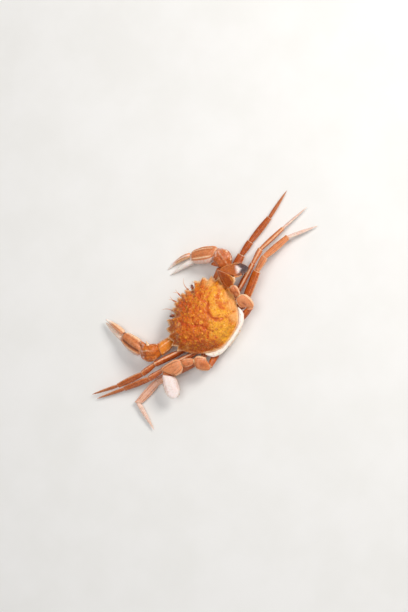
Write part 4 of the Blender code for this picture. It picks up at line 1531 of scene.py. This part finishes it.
def makeWrist(side, part):
    # a rounded, lumpy block with a pale beaded ridge along its outer side
    look = claw["wrist"]
    plate = Plate(part["name"], look["voxel"], look["smoothing"])
    offset = plate.points - plate.points.mean(0)
    high = offset @ np.array(part["thick"]) / part["halfThick"]
    out = offset @ np.array(part["outwards"]) / part["halfWide"]
    far = offset @ np.array(part["along"])
    bearing = np.arctan2(high, out)
    rimWards = step(0.45, 0.8, np.hypot(high, out))
    ridge = bell(bearing, 0.55, 0.26) * rimWards
    second = bell(bearing, 1.25, 0.12) * rimWards
    bead = 0.5 + 0.5 * beads(far, look["pitch"])
    lumps = ripple(plate.points, 2.6, 41) + 0.35 * ripple(plate.points, 1.1, 42)
    plate.lift(look["ridge"] * (ridge + 0.5 * second) * bead + look["swell"] + look["lumps"] * lumps)
    patches = step(0.0, 0.5, ripple(plate.points, 1.6, 43))
    strongest(plate.paint, "pale", 0.75 * ridge * (0.5 + 0.5 * patches), 0.4 * second)
    # painted highlight: white patches on the upper outer face and towards the end next to the palm
    strongest(plate.paint, "white", 0.7 * bell(bearing, 0.35, 0.3) * patches)
    strongest(plate.paint, "white", 0.45 * step(0.8, 4.5, far) * (0.6 + 0.4 * patches))
    # painted shade: a dark line along a crease on the upper side
    plate.paint["dark"] = 0.5 * bell(bearing, 0.95, 0.1) * step(0.5, 0.8, np.hypot(high, out))
    for name, value in claw[side]["wrist"].items():
        plate.paint[name] = np.full(len(far), value)
    handIn(plate.build("wrist" + side.capitalize()), "limb", [part["name"]])


def makeClaw(side):
    names = [f"claw_{side}_{kind}" for kind in ("base", "arm", "wrist", "hand", "finger")]
    handJoint = jointBetween(names[2], names[3])
    chain = readChain(names[:3], handJoint)
    hand = readHand(side, handJoint)
    wrist = chain[2]
    outwards = chain[1]["along"] - hand["along"]
    outwards = outwards - wrist["along"] * outwards.dot(wrist["along"])
    wrist["outwards"] = outwards.normalized()
    wrist["halfWide"] *= 0.93
    wrist["halfThick"] *= 0.93
    if wrist["wide"].dot(outwards) < 0:
        wrist["wide"] = -wrist["wide"]
    setMitres(chain + [hand])
    skin = Skin()
    for kind, part in zip(("base", "arm"), chain):
        segmentLoft(skin, part, claw[kind], (0.1, 0.2), claw[side][kind])
    makeWrist(side, wrist)
    palmLoft(skin, hand, side)
    fingerLoft(skin, hand, side)
    jointSkin(skin, chain + [hand])
    addClawSpines(skin, chain, side)
    handIn(skin.build("claw" + side.capitalize()), "limb", names[:2] + names[3:])


def addClawSpines(skin, chain, side):
    arm, wrist = chain[1:]
    up = Vector((0, 0, 1))
    outer = wrist["outwards"]
    centre = (wrist["start"] + wrist["end"]) / 2
    tip = max(cad[wrist["name"]].points, key=lambda p: (p - centre).length)
    way = (tip - centre).normalized()
    spine(skin, tip - way * 6.6, tip, 2.3, lean=outer * 0.225, paleFrom=0.3)
    turn, length = claw[side]["thorn"]
    way = Matrix.Rotation(math.radians(turn), 3, "Z") @ way
    foot = centre + way * 1.0 + up * wrist["halfThick"] * 0.45
    spine(skin, foot, centre + way * length + up * 1.6, 2.1, paleFrom=0.35)
    for place, rise in ((0.4, 0.275), (0.75, 0.2)):
        foot = wrist["start"].lerp(wrist["end"], place) + outer * wrist["halfWide"] * 0.92
        foot = foot + up * wrist["halfThick"] * rise
        spine(skin, foot, foot + outer * 1.2 + wrist["along"] * 0.8, 0.7, paleFrom=0.7)
    for sign in (1, -1):
        edge = arm["end"] - arm["along"] * 1.6 + arm["wide"] * sign * arm["halfWide"] * 0.8
        spine(skin, edge, edge + arm["wide"] * sign * 1.9 + arm["along"] * 2.2, 1.3, paleFrom=0.4)


for side in sides:
    makeClaw(side)
print("claws made")


# Feelers and bristles

feelers = {"radius": 0.32, "points": 40, "innerRadius": 0.26, "innerPoints": 14}
fringe = {"count": 220, "halfWide": 28.0, "frontHalf": 16, "radii": (0.05, 0.04, 0.01)}


def makeFeelers():
    look = feelers
    skin = Skin()
    picker = random.Random(5)
    rimZ = backShell["rimZ"]
    for side in (1, -1):
        root = Vector((side * 8.6, shellHigh.y - 5.2, rimZ - 2.0))
        knee = root + Vector((side * 0.9, 3.4, 0.5))
        tubeLoft(skin, [root, root.lerp(knee, 0.5), knee], [0.75, 0.7, 0.5], {"pale": 0.3}, 12)
        end = knee + Vector((side * 4.6, 6.8, -2.0 + 0.4 * side))
        last = look["points"] - 1
        path = curvePoints(knee, knee + Vector((side * 0.9, 4.4, 1.6)), end, look["points"])
        radii = [look["radius"] * (1 - 0.8 * i / last) * (1.12 if i % 2 else 0.92) for i in range(last + 1)]
        tubeLoft(skin, path, radii, {"pale": 0.5}, 8)
        start = Vector((side * 2.6, shellHigh.y - 3.0, rimZ - 1.4))
        fold = start + Vector((side * 0.6, 4.2, 1.0))
        tubeLoft(skin, curvePoints(start, start + Vector((0, 2.2, 1.6)), fold, 8), [0.5] * 6 + [0.45, 0.4],
                 {}, 10)
        for spread in (0.7, -0.9):
            tip = fold + Vector((side * spread * 1.6, 3.0 + picker.uniform(-0.5, 0.5), 1.1 - spread))
            last = look["innerPoints"] - 1
            path = curvePoints(fold, fold.lerp(tip, 0.5) + Vector((0, 0.6, 0.8)), tip, look["innerPoints"])
            radii = [look["innerRadius"] * (1 - 0.75 * i / last) for i in range(last + 1)]
            tubeLoft(skin, path, radii, {"pale": 0.6}, 8)
    handIn(skin.build("feelers"), "limb")


def makeBristles():
    # fringes on the paddles, legs and under the front of the shell
    look = fringe
    skin = Skin()
    picker = random.Random(23)
    for _ in range(look["count"]):
        x = picker.uniform(-look["halfWide"], look["halfWide"])
        degrees = math.degrees(math.asin(min(1.0, abs(x) / backShell["halfWide"])))
        if abs(x) > look["frontHalf"]:
            px, py = onSideEllipse(degrees + 1.0, picker.uniform(0.90, 0.93))
            way = Vector((math.copysign(1.0, x), 0.6, -0.45 + picker.uniform(-0.3, 0.3)))
        else:
            px, py = abs(x), shellHigh.y - 3.4
            way = Vector((picker.uniform(-0.5, 0.5), 1.0, -0.4 + picker.uniform(-0.4, 0.5)))
        root = Vector((math.copysign(px, x), py, backShell["rimZ"] - 1.2))
        hairRoots.append((root, way.normalized(), picker.uniform(1.4, 2.8)))
    for root, way, length in hairRoots:
        droop = Vector((picker.uniform(-0.2, 0.2), picker.uniform(-0.2, 0.2), picker.uniform(-0.25, 0.1)))
        path = [root, root + way * length * 0.5, root + (way + droop).normalized() * length]
        tubeLoft(skin, path, look["radii"], {}, 4)
    handIn(skin.build("bristles"), "hair")


makeFeelers()
makeBristles()
print("feelers and bristles made:", len(hairRoots), "bristles")


# Studio: floor, lights and camera

studio = {
    "floor": srgb(232, 230, 226), "floorHalf": 4.0,
    "azimuth": 17.0, "elevation": 76.0, "topHeading": 54.0, "lens": 85.0, "distance": 1.0297,
    # slide: how far the frame's middle lies right of and above the shell's
    "aimZ": 0.014, "slide": (-0.0007, 0.0088),
}


def makeFloor():
    bpy.ops.mesh.primitive_plane_add(size=studio["floorHalf"] * 2, location=(0, 0, -0.0001))
    floor = bpy.context.object
    floor.name = "floor"
    finish = Finish("paleFloor", {"IOR": 1.4})
    tone = finish.noise(finish.at, 0.02, 3.0)
    colour = finish.mix(finish.remap(tone, 0.3, 0.7), studio["floor"], srgb(236, 234, 231))
    finish.plug(colour, finish.sockets["Base Color"])
    finish.plug(finish.remap(tone, 0.3, 0.7, 0.55, 0.65), finish.sockets["Roughness"])
    floor.data.materials.append(finish.material)


def addSoftbox(name, place, size, power, colour):
    light = bpy.data.lights.new(name, "AREA")
    light.shape = "RECTANGLE"
    light.size, light.size_y = size
    light.energy = power
    light.color = colour
    item = bpy.data.objects.new(name, light)
    item.location = place
    item.rotation_euler = (-Vector(place)).to_track_quat("-Z", "Y").to_euler()
    bpy.context.scene.collection.objects.link(item)


def makeLights():
    addSoftbox("keyLight", (0.8, -0.22, 0.72), (0.4, 0.4), 8.6, (1.0, 0.98, 0.95))
    addSoftbox("fillLight", (-0.7, -0.5, 0.6), (0.9, 0.9), 1.3, (0.96, 0.98, 1.0))
    addSoftbox("topLight", (0.0, 0.1, 1.1), (0.6, 0.6), 4.0, (1.0, 1.0, 1.0))
    world = bpy.data.worlds.new("studioAir")
    world.use_nodes = True
    background = world.node_tree.nodes["Background"]
    background.inputs["Color"].default_value = (0.95, 0.97, 1.0, 1.0)
    background.inputs["Strength"].default_value = 0.3
    bpy.context.scene.world = world


def makeCamera():
    az, el = math.radians(studio["azimuth"]), math.radians(studio["elevation"])
    back = Vector((math.sin(az) * math.cos(el), -math.cos(az) * math.cos(el), math.sin(el)))
    heading = math.radians(studio["topHeading"])
    right = Vector((math.sin(heading), math.cos(heading), 0)).cross(back).normalized()
    up = back.cross(right)
    data = bpy.data.cameras.new("camera")
    data.sensor_fit = "VERTICAL"
    data.sensor_height = 36.0
    data.lens = studio["lens"]
    data.clip_end = 20.0
    camera = bpy.data.objects.new("camera", data)
    turn = Matrix((right, up, back)).transposed().to_4x4()
    aim = Vector((0, 0, studio["aimZ"])) + right * studio["slide"][0] + up * studio["slide"][1]
    place = aim + back * studio["distance"]
    camera.matrix_world = Matrix.Translation(place) @ turn
    bpy.context.scene.collection.objects.link(camera)
    bpy.context.scene.camera = camera
    bpy.context.scene.view_settings.view_transform = "Standard"


makeFloor()
makeLights()
makeCamera()
print("studio ready")
